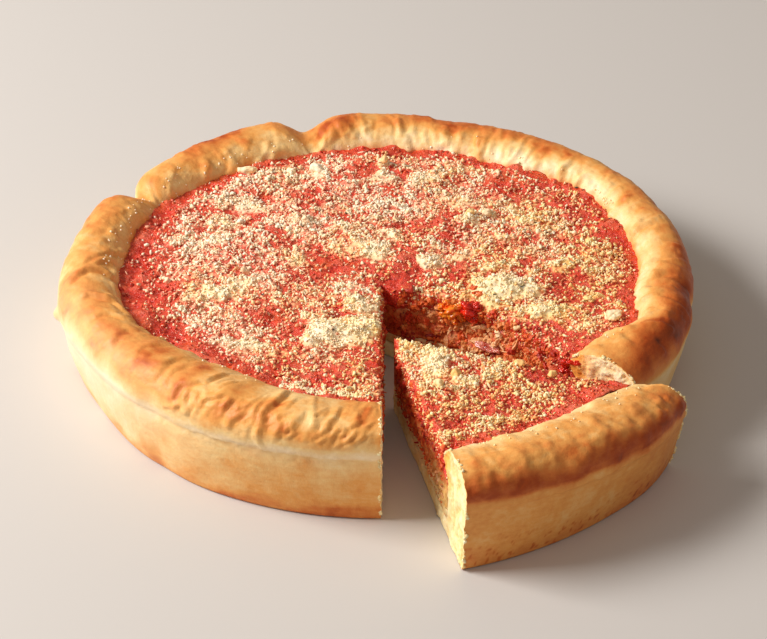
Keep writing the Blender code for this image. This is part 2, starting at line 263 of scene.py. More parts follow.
def angle_on_rim(angles, point):
    """The angle about the rim's centre at which a section from the cut point meets the rim."""
    distance = reach(0.120, angles, point)
    x = point[0] + distance * np.cos(np.radians(angles))
    y = point[1] + distance * np.sin(np.radians(angles))
    found = np.degrees(np.arctan2(y, x))
    return found + 360 * np.floor((angles - found) / 360 + 0.5)


def placed(distance, angles, height):
    across = np.radians(angles)
    return np.stack([distance * np.cos(across), distance * np.sin(across), height + 0 * distance], axis=-1)


def caved_share(distance):
    share = np.clip((distance - CAVED_SPAN[0]) / (CAVED_SPAN[1] - CAVED_SPAN[0]), 0, 1)
    return np.sin(pi * share**0.85) ** 0.8


def caved(distance, angles, height, span):
    """How far the filling has fallen back from the first cut, and slumped."""
    fade = np.clip(1 - (angles - span[0]) / (span[1] - span[0]) / CAVED_BLEND, 0, 1)
    share = CAVED_FOOT_SHARE + (1 - CAVED_FOOT_SHARE) * np.minimum(height / SAUSAGE_TOP, 1.0)
    back = CAVED_DEPTH * share * caved_share(distance) * fade
    rise = np.maximum(0.0, (height - SAUSAGE_TOP - LAYER_GAP) / (SAUCE_TOP - SAUSAGE_TOP))
    drop = SLUMP * caved_share(distance) * np.maximum(0.0, 4 * fade - 3) * rise
    across = np.radians(angles)
    return np.stack([-np.sin(across) * back, np.cos(across) * back, -drop], axis=-1)


def sauce_height(x, y):
    ripple = np.sin(95 * x + 1.3) * np.sin(80 * y + 0.4) + 0.6 * np.sin(170 * x - 120 * y + 2.0)
    return SAUCE_TOP + SAUCE_UNEVENNESS * ripple * np.minimum(1.0, np.hypot(x, y) / 0.02)


def turned(points, place, turn):
    """Points turned about the upright axis and moved to a place."""
    c, s = cos(radians(turn)), sin(radians(turn))
    out = points.copy()
    out[..., 0] = points[..., 0] * c - points[..., 1] * s
    out[..., 1] = points[..., 0] * s + points[..., 1] * c
    return out + place


def counted_on(angles, part, before):
    """Angles that grow all the way round from so many degrees before the first cut."""
    return np.where(angles < part.span[0] - before, angles + 360, angles)


def cut_ways(angle, side):
    """The ways along a cut and out of its face; side is 1 at a part's first cut and -1 at its last."""
    c, s = cos(radians(angle)), sin(radians(angle))
    return np.array([c, s, 0]), np.array([s, -c, 0]) * side


# ---------------------------------------------------------------- meshes
def mesh_of(name, points, faces):
    """A mesh from points and a list of face arrays, each of one width."""
    mesh = bpy.data.meshes.new(name)
    corners = np.concatenate([f.ravel() for f in faces]).astype(np.int32)
    sizes = np.concatenate([np.full(len(f), f.shape[1]) for f in faces])
    starts = np.concatenate([[0], np.cumsum(sizes)[:-1]]).astype(np.int32)
    mesh.vertices.add(len(points))
    mesh.vertices.foreach_set("co", np.ascontiguousarray(points, np.float32).ravel())
    mesh.loops.add(len(corners))
    mesh.loops.foreach_set("vertex_index", corners)
    mesh.polygons.add(len(sizes))
    mesh.polygons.foreach_set("loop_start", starts)
    mesh.update(calc_edges=True)
    mesh.validate()
    return mesh


def put_values(mesh, **named):
    """Put values on a mesh's points for its material, under the names given."""
    for name, values in named.items():
        layer_of_values = mesh.attributes.new(name, "FLOAT", "POINT")
        layer_of_values.data.foreach_set("value", np.ascontiguousarray(values, np.float32))


def piece(name, mesh, materials, replaced=()):
    """Add a mesh to the part under a name, with its materials and the nodes it stands for."""
    for material in materials:
        mesh.materials.append(material)
    mesh.shade_smooth()
    obj = bpy.data.objects.new(name, mesh)
    bpy.context.scene.collection.objects.link(obj)
    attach(obj, "root")
    if replaced:
        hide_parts(*replaced)
    return obj


def mend(mesh):
    """Turn a closed mesh's faces outward, and make the edges between two of its materials sharp."""
    bm = bmesh.new()
    bm.from_mesh(mesh)
    bmesh.ops.recalc_face_normals(bm, faces=bm.faces)
    if len(mesh.materials) > 1:
        for edge in bm.edges:
            edge.smooth = len({face.material_index for face in edge.link_faces}) == 1
    bm.to_mesh(mesh)
    bm.free()


def grid_normals(points):
    """Normals of a grid of points, one for each."""
    normals = np.cross(np.gradient(points, axis=0), np.gradient(points, axis=1))
    return normals / np.maximum(np.linalg.norm(normals, axis=2, keepdims=True), 1e-12)


def grid_faces(rows, columns):
    i, j = np.meshgrid(np.arange(rows - 1), np.arange(columns - 1), indexing="ij")
    corner = (i * columns + j).ravel()
    return np.stack([corner, corner + columns, corner + columns + 1, corner + 1], axis=1)


def inside(points, ring):
    """Which points are in the closed ring, by counting the ring's sides to their right."""
    found = np.zeros(len(points), bool)
    x, y = points[:, 0], points[:, 1]
    for (x0, y0), (x1, y1) in zip(ring, np.roll(ring, -1, axis=0)):
        if y0 == y1:
            continue
        crossed = (y0 > y) != (y1 > y)
        found ^= crossed & (x < (x1 - x0) * (y - y0) / (y1 - y0) + x0)
    return found


def nearest_gap(points, others):
    """The distance from each point to the nearest of the others, some thousands of points at a time."""
    batch = 4000
    gaps = []
    for start in range(0, len(points), batch):
        part = points[start : start + batch]
        gaps.append(((part[:, None, :] - others[None, :, :]) ** 2).sum(axis=2).min(axis=1))
    return np.sqrt(np.concatenate(gaps))


def filled(ring, step, seed):
    """Triangles inside a flat ring: the points added, and faces that count the ring's points first."""
    draw = np.random.RandomState(seed)
    edge_share, uneven = 0.45, 0.28
    low, high = ring.min(axis=0), ring.max(axis=0)
    columns = int((high[0] - low[0]) / step) + 2
    rows = int((high[1] - low[1]) / (step * ROW_SHARE)) + 2
    i, j = np.meshgrid(np.arange(columns), np.arange(rows), indexing="ij")
    x, y = low[0] + (i + 0.5 * (j % 2)) * step, low[1] + j * step * ROW_SHARE
    spread = np.stack([x, y], axis=-1).reshape(-1, 2)
    spread += draw.uniform(-uneven, uneven, spread.shape) * step
    spread = spread[inside(spread, ring)]
    dense = np.concatenate([ring, ring + (np.roll(ring, -1, axis=0) - ring) * 0.5])
    spread = spread[nearest_gap(spread, dense) >= edge_share * step]
    every = np.concatenate([ring, spread])
    sides = [(k, (k + 1) % len(ring)) for k in range(len(ring))]
    found = geometry.delaunay_2d_cdt([Vector(p) for p in every], sides, [], 1, 1e-7, True)
    first = np.array([origin[0] for origin in found[3]])
    faces = first[np.array(found[2])]
    faces = faces[(faces != np.roll(faces, 1, axis=1)).all(axis=1)]
    return spread, faces[inside(every[faces].mean(axis=1), ring)]


# ---------------------------------------------------------------- the crust
# The marks along a section
FOOT, CREASE, WIDEST, CREST, INNER = 0.0, 1.0, 2.0, 3.0, 4.0
# Points of each section that stand for the underside, before the skin starts
UNDER_ROWS = 3
# The rim's radius in mm by which lengths round the skin are measured
SKIN_RADIUS = 122.0


def section_grid(part, angles):
    """Points of the visible skin, one section to a row, with each point's mark along the section."""
    theta = angle_on_rim(angles, part.point)
    rim = rim_at(part.stations, theta)
    foot, widest, bulge, crest, top = (rim[key] for key in ("foot", "widest", "bulge", "crest", "height"))
    crease_r, crease_z = widest - LIP_OVERHANG, bulge - LIP_DEPTH
    rows = []
    for t in (0.0, 0.35, 0.7):
        radius = foot - FOOT_ROUND * (1 - sin(t * pi / 2))
        rows.append((FOOT - 0.1 * (1 - t), radius, FOOT_RISE * (1 - cos(t * pi / 2))))
    for t in np.arange(24) / 24:
        radius = foot + (crease_r - foot) * t + 0.0007 * sin(pi * t)
        rows.append((FOOT + t, radius, FOOT_RISE + (crease_z - FOOT_RISE) * t))
    for t in np.arange(8) / 8:
        rows.append((CREASE + t, crease_r + LIP_OVERHANG * sin(t * pi / 2) ** 0.8, crease_z + LIP_DEPTH * t))
    for t in np.arange(30) / 30:
        radius = widest + (crest - widest) * (1 - cos(t * pi / 2))
        rows.append((WIDEST + t, radius, bulge + (top - bulge) * sin(t * pi / 2) ** 0.9))
    for t in np.arange(34) / 34:
        left = (1 - t) * pi / 2
        height = RIM_START + (top - RIM_START) * sin(left) ** rim["power"]
        rows.append((CREST + t, rim["inner"] + (crest - rim["inner"]) * (1 - cos(left)), height))
    rows.append((INNER, rim["inner"], RIM_START))
    marks, radii, heights = (np.array([row[k] + 0 * theta for row in rows]).T for k in range(3))
    distance = reach(radii, angles[:, None], part.point)
    points = placed(distance, angles[:, None] + 0 * distance, heights)
    return points, marks, theta[:, None] + 0 * radii, rim


# Folds where the dough has wrinkled: how deep and how wide in mm, and where each runs, as (angle, mark)
# points. About half follow creases that were traced on the photo and turned into points by a separate script.
PIZZA_FOLDS = (
    (
        0.95, 1.30,
        ((235.5, 3.45), (235.9, 3.18), (235.5, 3.02), (234.6, 2.95), (233.7, 2.83), (232.2, 2.70),
         (231.9, 2.40), (231.3, 2.15)),
    ),
    (0.85, 1.10, ((233.6, 2.62), (234.4, 2.45), (235.3, 2.33), (236.0, 2.12))),
    (0.60, 1.20, ((243.4, 2.85), (242.6, 2.66), (242.0, 2.44))),
    (0.80, 1.10, ((246.6, 2.70), (245.6, 2.46), (244.5, 2.30), (244.1, 2.05))),
    (1.15, 1.50, ((249.6, 3.62), (250.4, 3.20), (250.2, 2.97), (249.5, 2.70), (249.8, 2.50), (250.1, 2.18))),
    (0.60, 0.90, ((249.8, 2.45), (249.6, 2.10), (250.0, 1.70), (250.8, 1.25))),
    (0.55, 0.90, ((255.6, 3.60), (258.0, 3.05), (259.3, 2.55), (259.2, 2.20))),
    (0.65, 1.10, ((257.0, 3.02), (255.9, 2.62), (255.0, 2.28))),
    (0.60, 1.10, ((262.8, 3.24), (262.2, 2.92), (261.4, 2.60), (260.9, 2.36))),
    (0.50, 0.90, ((264.0, 2.72), (264.6, 2.45), (263.2, 2.32))),
    (0.50, 0.90, ((253.0, 2.66), (252.9, 2.35), (252.8, 2.08))),
    (0.45, 0.80, ((247.8, 2.40), (247.4, 2.16), (247.6, 1.90))),
    (1.20, 1.50, ((183.6, 3.94), (185.2, 3.56), (184.9, 3.30), (185.6, 3.06), (188.0, 2.85), (190.0, 2.55))),
    (1.10, 1.40, ((203.0, 3.52), (197.6, 3.38), (196.3, 3.20), (194.8, 3.00), (195.6, 2.70))),
    (0.90, 1.30, ((206.0, 3.32), (202.8, 3.15), (202.3, 3.00), (203.3, 2.72))),
    (0.45, 1.80, ((211.5, 3.45), (209.6, 3.15), (211.6, 2.84), (213.0, 2.50))),
    (0.75, 1.30, ((174.0, 3.75), (179.0, 3.32), (181.7, 3.10), (184.0, 2.90))),
    (0.75, 1.30, ((177.4, 3.80), (181.2, 3.38), (183.4, 3.15))),
    (0.45, 1.40, ((168.5, 3.60), (170.5, 3.20), (172.5, 2.90))),
    (0.55, 1.50, ((219.0, 3.40), (217.6, 3.05), (219.4, 2.70), (219.8, 2.45))),
    (0.60, 1.50, ((225.8, 3.50), (225.0, 3.10), (226.4, 2.70), (226.0, 2.35))),
    (0.50, 1.30, ((228.8, 3.20), (228.2, 2.85), (229.2, 2.45))),
    (0.70, 1.50, ((352.9, 3.45), (352.3, 3.00), (351.2, 2.55), (351.6, 2.20))),
    (0.60, 1.40, ((359.8, 3.40), (357.2, 3.05), (356.2, 2.60))),
    (1.10, 1.70, ((344.0, 3.62), (344.8, 3.20), (343.6, 2.80), (343.8, 2.40), (344.6, 2.05))),
    (0.60, 1.20, ((340.8, 3.25), (339.4, 3.02), (339.8, 2.80))),
    (0.60, 1.20, ((336.8, 2.95), (335.8, 2.72), (336.8, 2.50))),
    (0.60, 1.60, ((331.0, 3.50), (328.5, 3.10), (327.0, 2.80))),
    (0.50, 1.30, ((7.0, 3.30), (5.5, 2.95), (5.0, 2.50))),
    (0.50, 1.30, ((14.0, 3.40), (12.2, 3.00), (11.8, 2.60))),
)
SLICE_FOLDS = (
    (0.60, 1.30, ((319.6, 3.35), (319.2, 3.10), (320.2, 2.90))),
    (0.70, 1.10, ((316.9, 2.85), (316.0, 2.66), (316.4, 2.45))),
    (0.60, 1.10, ((313.8, 2.80), (313.2, 2.55), (313.8, 2.35))),
    (0.34, 2.00, ((293.6, 3.10), (292.8, 2.80), (293.6, 2.50))),
    (0.34, 1.90, ((301.6, 3.20), (300.6, 2.85), (301.2, 2.60))),
    (0.30, 1.90, ((283.0, 3.05), (282.2, 2.70), (282.8, 2.40))),
    (0.30, 1.70, ((275.6, 2.90), (274.8, 2.50), (275.2, 2.15))),
    (0.30, 1.70, ((306.6, 2.95), (305.9, 2.65), (306.4, 2.40))),
)
# Where more short folds lie: seed, count, angles, marks, length in marks, depth, width in mm, lean in degrees
PIZZA_SMALL_FOLDS = (
    (501, 60, (230, 269.5), (2.15, 2.80), (0.20, 0.60), (0.22, 0.55), (0.50, 0.85), 0.6),
    (502, 34, (236, 269.5), (2.65, 3.30), (0.25, 0.70), (0.15, 0.40), (0.50, 0.95), 0.8),
    (503, 26, (165, 232), (2.30, 3.40), (0.40, 1.00), (0.14, 0.34), (1.10, 1.90), 1.2),
    (504, 90, (10, 104), (3.05, 3.75), (0.45, 0.95), (0.22, 0.55), (0.80, 1.40), -0.5),
    (505, 34, (-34, 12), (2.40, 3.60), (0.40, 0.90), (0.22, 0.55), (0.90, 1.50), -0.6),
    (506, 26, (108, 165), (2.60, 3.50), (0.40, 0.90), (0.15, 0.35), (0.90, 1.50), 0.0),
)
SLICE_SMALL_FOLDS = ((511, 20, (272, 324), (2.40, 3.20), (0.30, 0.80), (0.08, 0.22), (1.30, 2.20), 0.0),)
# Blisters in the skin: angle, mark, half width in mm, height in mm
PIZZA_BLISTERS = (
    (339.8, 2.92, 2.6, 0.9), (337.6, 2.72, 2.0, 0.7), (334.2, 3.05, 3.0, 0.6), (346.6, 3.30, 3.0, 0.8),
    (190.3, 1.90, 2.6, 2.0), (98.5, 3.20, 5.0, 0.7), (130.0, 2.70, 6.0, 0.5), (240.0, 3.05, 5.5, 0.5),
)
SLICE_BLISTERS = (
    (314.8, 2.66, 1.9, 0.8), (317.6, 2.62, 1.6, 0.6), (312.4, 2.48, 1.7, 0.7), (309.0, 2.80, 3.2, 0.5),
    (297.0, 2.60, 4.0, 0.5), (287.5, 2.55, 4.0, 0.4),
)
# Browner and paler places on the pizza's crust: by how much, then the middle and the spread before and after
# it, first as angles and then as marks. The entry at angle 0 is painted shade on the outer side of the right
# roll, which faces away from the lamp.
PIZZA_BROWNING_AND_SHADE = (
    (0.10, 262, 30, 30, 2.30, 0.35, 0.35), (-0.06, 195, 32, 32, 1.60, 0.50, 0.50),
    (0.42, -25, 16, 16, 2.50, 0.55, 0.50), (0.30, 98.5, 3.0, 3.0, 3.10, 0.45, 0.45),
    (0.16, 133, 12, 12, 2.60, 0.60, 0.60), (0.22, 77, 26, 16, 3.00, 0.70, 0.50),
    (0.34, 0, 24, 16, 2.30, 0.60, 0.45), (0.20, 246, 6, 6, 2.75, 0.40, 0.40),
    (-0.12, 258, 7, 7, 2.70, 0.40, 0.40),
)


def small_folds(seed, count, angles, marks, length, depth, width, lean):
    """Short folds drawn at random between two angles, marks, lengths, depths and widths."""
    draw = np.random.RandomState(seed)
    made = []
    for _ in range(count):
        angle, mark = draw.uniform(*angles), draw.uniform(*marks)
        reach_in = draw.uniform(*length) / 2
        slant = draw.normal(lean, 0.9)
        bend = draw.uniform(-0.6, 0.6)
        line = [(angle + slant * t + bend * (1 - t * t), mark + reach_in * t) for t in (1.0, 0.4, -0.3, -1.0)]
        made.append((draw.uniform(*depth), draw.uniform(*width), line))
    return made


def folded(theta, marks, skin, folds, groups, blisters):
    """The relief of the folds and blisters, and of the folds' shaded sides alone, in mm."""
    relief, fold_shade = np.zeros(theta.shape), np.zeros(theta.shape)
    arc, across = skin[..., 0], skin[..., 1]

    def at(angle, mark):
        row = int(np.argmin(np.abs(((theta[:, 0] - angle + 180) % 360) - 180)))
        return arc[row, 0], float(np.interp(mark, marks[row], across[row]))

    for depth, width, points in list(folds) + [fold for group in groups for fold in small_folds(*group)]:
        line = np.array([at(*point) for point in points])
        rows = (arc[:, 0] > line[:, 0].min() - 5 * width) & (arc[:, 0] < line[:, 0].max() + 5 * width)
        x, y = arc[rows], across[rows]
        lengths = np.hypot(*np.diff(line, axis=0).T)
        starts = np.concatenate([[0], np.cumsum(lengths)]) / lengths.sum()
        best, side, along = np.full(x.shape, 1e9), np.ones(x.shape), np.zeros(x.shape)
        for k, length in enumerate(lengths):
            (x0, y0), (dx, dy) = line[k], line[k + 1] - line[k]
            t = np.clip(((x - x0) * dx + (y - y0) * dy) / length**2, 0, 1)
            gap = np.hypot(x - x0 - t * dx, y - y0 - t * dy)
            closer = gap < best
            best = np.where(closer, gap, best)
            side = np.where(closer, np.where(dx * (y - y0) - dy * (x - x0) >= 0, 1.0, -1.0), side)
            along = np.where(closer, starts[k] + t * (starts[k + 1] - starts[k]), along)
        signed = best * side / width
        whole = smooth(0.0, 0.34, along) * smooth(1.0, 0.84, along)
        groove = bell(signed, 0.75, 0.75) * whole
        ridge = bell(signed, -0.70, 1.7, 0.95) * whole
        relief[rows] += depth * (0.85 * ridge - 0.55 * groove)
        fold_shade[rows] = np.maximum(fold_shade[rows], depth * (groove - 0.35 * ridge))
    for angle, mark, width, height in blisters:
        x, y = at(angle, mark)
        relief += height * np.exp(-(((arc - x) ** 2 + (across - y) ** 2) / width**2) ** 1.5)
    return relief, fold_shade


def pleats(skin, wave, length, seed, lean=0.0):
    """Noise drawn out along a section: a wave wide round the rim and a length long across it, in mm."""
    arc, across = skin[..., 0].ravel(), skin[..., 1].ravel()
    at = np.stack([(arc + lean * across) / wave, across / length, 0 * arc + seed], axis=1)
    at[:, 0] += 0.7 * noise(at * 0.6, 1.0, seed + 5)
    return noise(at, 1.0, seed).reshape(skin.shape[:2])


def creased(skin, wave, length, seed, lean=0.0, depth=2.2):
    """Pleats with sharp valleys between rounded ridges."""
    return 0.6 - np.abs(pleats(skin, wave, length, seed, lean)) * depth


def skin_noise(skin, cell, octaves, seed, drawn=(1, 1, 1)):
    """Noise over the skin, in mm, drawn out where a share is below 1."""
    return layered((skin * np.array(drawn)).reshape(-1, 3), cell, octaves, seed).reshape(skin.shape[:2])


def upper_side(marks):
    return smooth(1.5, 2.1, marks) * (1 - smooth(3.75, 4.0, marks))


def pizza_relief(theta, marks, skin):
    """The pizza crust's relief in mm, and how much browner it is painted: browning on high relief, and
    painted shade on the folds' shaded sides.
    """
    top = upper_side(marks)
    wall = 1 - smooth(0.8, 1.3, marks)
    shoulder = bell(marks, 2.32, 0.30, 0.38)
    front, left = bell(theta, 252, 20, 22), bell(theta, 200, 26, 30)
    back, right = bell(theta, 66, 42, 44), bell(theta, 0, 26, 30)
    near_cut = smooth(249, 258, theta)
    relief, fold_shade = folded(theta, marks, skin, PIZZA_FOLDS, PIZZA_SMALL_FOLDS, PIZZA_BLISTERS)
    fine = creased(skin, 3.4, 9, 6, -0.3, 2.4)
    close = creased(skin, 5.2, 22, 7, 0.1)
    medium = (0.10 + 0.10 * left + 0.12 * right + 0.10 * front) * creased(skin, 9.0, 30, 4, 0.25)
    relief += top * (0.40 * pleats(skin, 21, 60, 3) + medium + back * (0.28 * close + 0.10 * fine))
    relief += shoulder * (near_cut * (0.30 * fine + 0.16 * close) + 0.16 * (1 - near_cut) * front * fine)
    relief += 0.80 * bell(marks, 1.10, 0.20, 0.25) * front * skin_noise(skin, 2.6, 2, 19, (0.7, 1.4, 1))
    relief += 0.45 * skin_noise(skin, 19.0, 2, 8) * (0.5 + 0.5 * top)
    relief += top * (0.12 * skin_noise(skin, 4.0, 2, 12) + 0.07 * skin_noise(skin, 2.0, 2, 13))
    inner_lumps = np.maximum(0, skin_noise(skin, 8.0, 2, 18)) * smooth(2.9, 3.5, marks)
    relief += 1.8 * inner_lumps * (1 - bell(theta, 250, 30, 25))
    relief += wall * 0.20 * skin_noise(skin, 8.0, 2, 9, (0.5, 1.2, 1))
    relief += wall * 0.07 * skin_noise(skin, 1.8, 2, 17, (0.6, 1.3, 1))
    # Painted shade: the folds' shaded sides are painted browner
    return relief, 0.03 * relief + 0.08 * fold_shade - 0.05 * near_cut * shoulder * fine


def pizza_bake(theta, marks, skin, brown_and_fold_shade):
    """How browned the pizza's crust is, from 0 pale to 1 dark, how pale it is, and its dark spots. The
    paleness is partly flour on the crease and partly a painted glare on the left wall that the key lamp
    lights.
    """
    mottle = skin_noise(skin, 11.0, 3, 21)
    patch = skin_noise(skin, 32.0, 2, 27)
    marks = marks + 0.16 * skin_noise(skin, 16.0, 2, 28)
    top = smooth(1.85, 2.40, marks) * (1 - 0.60 * smooth(3.0, 3.7, marks))
    crease = bell(marks, 1.30, 0.35, 0.45)
    # Painted light: lit_wall is the wall that the key lamp lights, painted paler below and given a pale
    # whitish glare
    lit_wall = bell(theta, 203, 34, 23) * bell(marks, 1.3, 1.1, 0.90)
    foot = bell(marks, -0.02, 0.30, 0.20) * (0.25 + 0.15 * skin_noise(skin, 4.0, 3, 29, (0.35, 1.2, 1)))
    bake = 0.20 + 0.27 * top + foot - 0.08 * crease - 0.12 * lit_wall + brown_and_fold_shade
    bake += (0.07 + 0.06 * top) * mottle + 0.11 * patch * top
    bake += 0.20 * bell(theta, 262, 30, 30) * smooth(1.35, 0.4, marks)
    bake += (0.05 * bell(theta, 195, 32, 32) - 0.10 * bell(theta, 250, 14, 20)) * top
    bake += 0.05 * bell(theta, 230, 14, 16) * (1 - top)
    bake -= 0.24 * bell(theta, 60, 70, 60) * smooth(3.0, 3.6, marks)
    # Browning, and at angle 0 painted shade on the roll's side away from the lamp
    for much, *place in PIZZA_BROWNING_AND_SHADE:
        bake += much * bell(theta, *place[:3]) * bell(marks, *place[3:])
    scorch = smooth(0.45, 1.05, mottle + 0.6 * patch) * top
    return np.clip(bake, 0, 1.2), np.maximum(0.42 * crease * smooth(225, 245, theta), lit_wall), scorch


def slice_relief(theta, marks, skin):
    """The same two for the slice's crust."""
    top = upper_side(marks)
    relief, fold_shade = folded(theta, marks, skin, SLICE_FOLDS, SLICE_SMALL_FOLDS, SLICE_BLISTERS)
    relief += 0.95 * skin_noise(skin, 12.0, 3, 41) * (0.25 + 0.75 * top) + 0.9 * bell(marks, 1.15, 0.35, 0.40)
    relief += top * (0.16 * creased(skin, 6.5, 16, 43, 0.0, 2) + 0.14 * skin_noise(skin, 3.2, 2, 47))
    # Painted shade: the folds' shaded sides are painted browner
    return relief, 0.03 * relief + 0.06 * fold_shade


def slice_bake(theta, marks, skin, brown_and_fold_shade):
    """The same three for the slice's crust."""
    mottle = skin_noise(skin, 8.0, 3, 51)
    patch = skin_noise(skin, 26.0, 2, 53)
    band = bell(marks, 2.14 + 0.16 * skin_noise(skin, 9.0, 2, 55), 0.44, 0.34)
    top = bell(marks, 2.75, 0.5, 0.5)
    # Browner wall, more so towards its right: partly its deeper golden brown, partly painted shade on the
    # side away from the lamp
    wall = smooth(1.9, 1.3, marks) * (0.08 + 0.08 * smooth(296, 316, theta))
    specks = smooth(0.30, 0.62, skin_noise(skin, 2.4, 2, 57)) * bell(marks, 0.15, 0.4, 0.3)
    bake = 0.34 + wall + 0.13 * top + 0.54 * band * (0.95 + 0.15 * patch) + 0.10 * bell(marks, 0.0, 0.3, 0.22)
    bake += brown_and_fold_shade - 0.20 * smooth(3.1, 3.7, marks) + 0.26 * specks + (0.06 + 0.06 * top) * mottle
    return np.clip(bake, 0, 0.92), 0 * bake, smooth(0.2, 0.9, mottle + 0.4 * patch) * band * 0.6


def grease_near_sauce(theta, marks, skin):
    """Where orange grease from the sauce has soaked into the crust's inner edge."""
    around = 0.50 + 0.45 * bell(theta, 40, 70, 60) + 0.40 * bell(theta, 135, 30)
    around += 1.2 * bell(theta, -36, 6) + 1.2 * bell(theta, 324, 6)
    return np.clip(around * smooth(3.62 - 0.22 * skin_noise(skin, 9.0, 2, 77), 3.98, marks), 0, 1)


def cut_face(ring, axis, out, seed):
    """The torn crumb that fills a cut's outline: points, triangles, depths, and the points on the flat."""
    outline = np.stack([ring @ axis, ring[:, 2]], axis=1)
    added, triangles = filled(outline, 0.00062, seed)
    flat = axis * added[:, :1] + np.array([0, 0, 1.0]) * added[:, 1:]
    edge = smooth(0.0, 0.0022, nearest_gap(added, outline))
    stretch = smooth(0.2, 0.7, 0.5 + 0.5 * noise(flat, 0.006, seed + 3))
    depth = 0.70 * smooth(0.45, 0.10, spot_distance(flat, 0.0021, seed)) * stretch
    depth += 0.34 * smooth(0.5, 0.1, spot_distance(flat, 0.0011, seed + 2))
    depth += 0.75 * layered(flat, 0.0045, 3, seed) + 0.05
    base = flat - out * (depth * edge * MM)[:, None]
    base = base + out * (0.25 * MM * smooth(0, 1, noise(flat, 0.0015, seed)) * edge)[:, None]
    a, b, c = (np.concatenate([ring, base])[corners] for corners in triangles.T)
    if (np.cross(b - a, c - a) @ out).sum() <= 0:
        triangles = triangles[:, ::-1]
    return base, triangles, np.maximum(depth, 0) * edge, added


# The outlines of the crusts' cut faces: points, the way out, and the way along the cut
cut_rings = []


def crust(name, part, step, relief_of, bake_of, painted_crumb_darkening):
    """One crust: skin with its relief, the pocket and floor under the filling, and a face at each cut."""
    count = int(round((part.span[1] - part.span[0]) / step)) + 1
    angles = np.linspace(*part.span, count)
    points, marks, theta, rim = section_grid(part, angles)
    lengths = np.linalg.norm(np.diff(points, axis=1), axis=2)
    along = np.concatenate([np.zeros((count, 1)), np.cumsum(lengths, axis=1)], axis=1) * IN_MM
    skin = np.stack([np.radians(theta) * SKIN_RADIUS, along, 0 * along], axis=-1)
    relief, brown_and_fold_shade = relief_of(theta, marks, skin)
    relief = relief * smooth(-0.05, 0.12, marks) * (1 - smooth(3.85, 4.0, marks))
    normals = grid_normals(points)
    middle = (count // 2, 12)
    outward = np.sign(normals[middle][:2] @ points[middle][:2])
    points = points + outward * normals * (relief * MM)[..., None]
    values = np.stack([*bake_of(theta, marks, skin, brown_and_fold_shade), grease_near_sauce(theta, marks, skin)])

    # under the filling: down the pocket and in over the floor; below: out from the cut point to the foot
    pocket = pocket_points(rim)[1:]
    hidden = [placed(reach(r, angles, part.point), angles, z) for r, z in pocket]
    last = reach(pocket[-1][0], angles, part.point)
    hidden += [placed(last * share, angles, DOUGH_TOP + 0 * angles) for share in (0.75, 0.5, 0.25)]
    foot = reach(rim["foot"] - FOOT_ROUND, angles, part.point)
    below = [placed(foot * share, angles, 0 * angles) for share in (0.35, 0.7, 0.92)]
    whole = np.concatenate([np.stack(below, axis=1), points, np.stack(hidden, axis=1)], axis=1)
    rows = whole.shape[1]
    unseen = (UNDER_ROWS, rows - UNDER_ROWS - points.shape[1])
    values = np.pad(values, ((0, 0), (0, 0), unseen), mode="edge")
    values[0, :, :UNDER_ROWS] = 0.62
    skins = [np.pad(skin, ((0, 0), unseen, (0, 0)), mode="edge").reshape(-1, 3), np.zeros((2, 3))]
    values = [values.reshape(4, -1), np.zeros((4, 2))]
    ends = np.array([[0, 0, 0.0], [0, 0, DOUGH_TOP]])
    low_end = count * rows
    total = low_end + 2
    i = np.arange(count - 1)
    tail = i * rows + rows - 1
    faces = [
        grid_faces(count, rows),
        np.stack([i * rows, np.full_like(i, low_end), (i + 1) * rows], axis=1),
        np.stack([tail, tail + rows, np.full_like(i, low_end + 1)], axis=1),
    ]
    skin_faces = sum(map(len, faces))
    row_marks = np.arange(rows)
    held = smooth(1, 6, row_marks) * smooth(rows, rows - 8, row_marks)
    bases = []
    for row, side, seed, soaking in ((0, 1, 31, 1.0), (count - 1, -1, 32, 0.6)):
        axis, out = cut_ways(angles[row], side)
        torn = 0.45 * noise(whole[row], 0.0028, 33) + 0.35 * noise(whole[row], 0.0013, 34) - 0.15
        whole[row] += out * (torn * held * MM)[:, None]
        ring = np.concatenate([ends[:1], whole[row], ends[1:]])
        base, triangles, depth, added = cut_face(ring, axis, out, seed)
        ring_ids = [[low_end], row * rows + row_marks, [low_end + 1]]
        faces.append(np.concatenate([*ring_ids, total + np.arange(len(base))])[triangles])
        from_inner = added[:, 0] - added[added[:, 1] > 0.026, 0].min()
        soaked = smooth(0.016, 0.003, from_inner) * smooth(0.016, 0.024, added[:, 1]) * soaking
        # Painted light and shade: the crumb is painted darker where it is pitted deeper, and darker on the
        # slice, whose left cut the lamp lights, than on the pizza, whose cuts lie in shade
        values.append(np.stack([painted_crumb_darkening + 0.42 * depth, 0 * depth, 0 * depth, soaked]))
        skins.append(base * IN_MM)
        bases.append(base)
        total += len(base)
        ways = (turned(way, 0, part.turn) for way in (out, axis))
        cut_rings.append((turned(ring, part.place, part.turn), *ways))
    everything = np.concatenate([whole.reshape(-1, 3), ends, *bases])
    mesh = mesh_of(name, turned(everything, part.place, part.turn), faces)
    bake, pale, scorch, grease = np.concatenate(values, axis=1)
    put_values(mesh, bake=bake, pale=pale, scorch=scorch, grease=grease)
    along_skin = mesh.attributes.new("skin", "FLOAT_VECTOR", "POINT")
    along_skin.data.foreach_set("vector", np.concatenate(skins).astype(np.float32).ravel())
    which = np.zeros(len(mesh.polygons), np.int32)
    which[skin_faces:] = 1
    mesh.polygons.foreach_set("material_index", which)
    piece(name, mesh, [dough, crumb], [f"{part.prefix}_crust"])
    mend(mesh)


# ---------------------------------------------------------------- materials
def srgb(r, g, b):
    """A colour, with its alpha, from red, green and blue of 0 to 255."""
    return (*(((c / 255 + 0.055) / 1.055) ** 2.4 if c > 10 else c / 255 / 12.92 for c in (r, g, b)), 1)


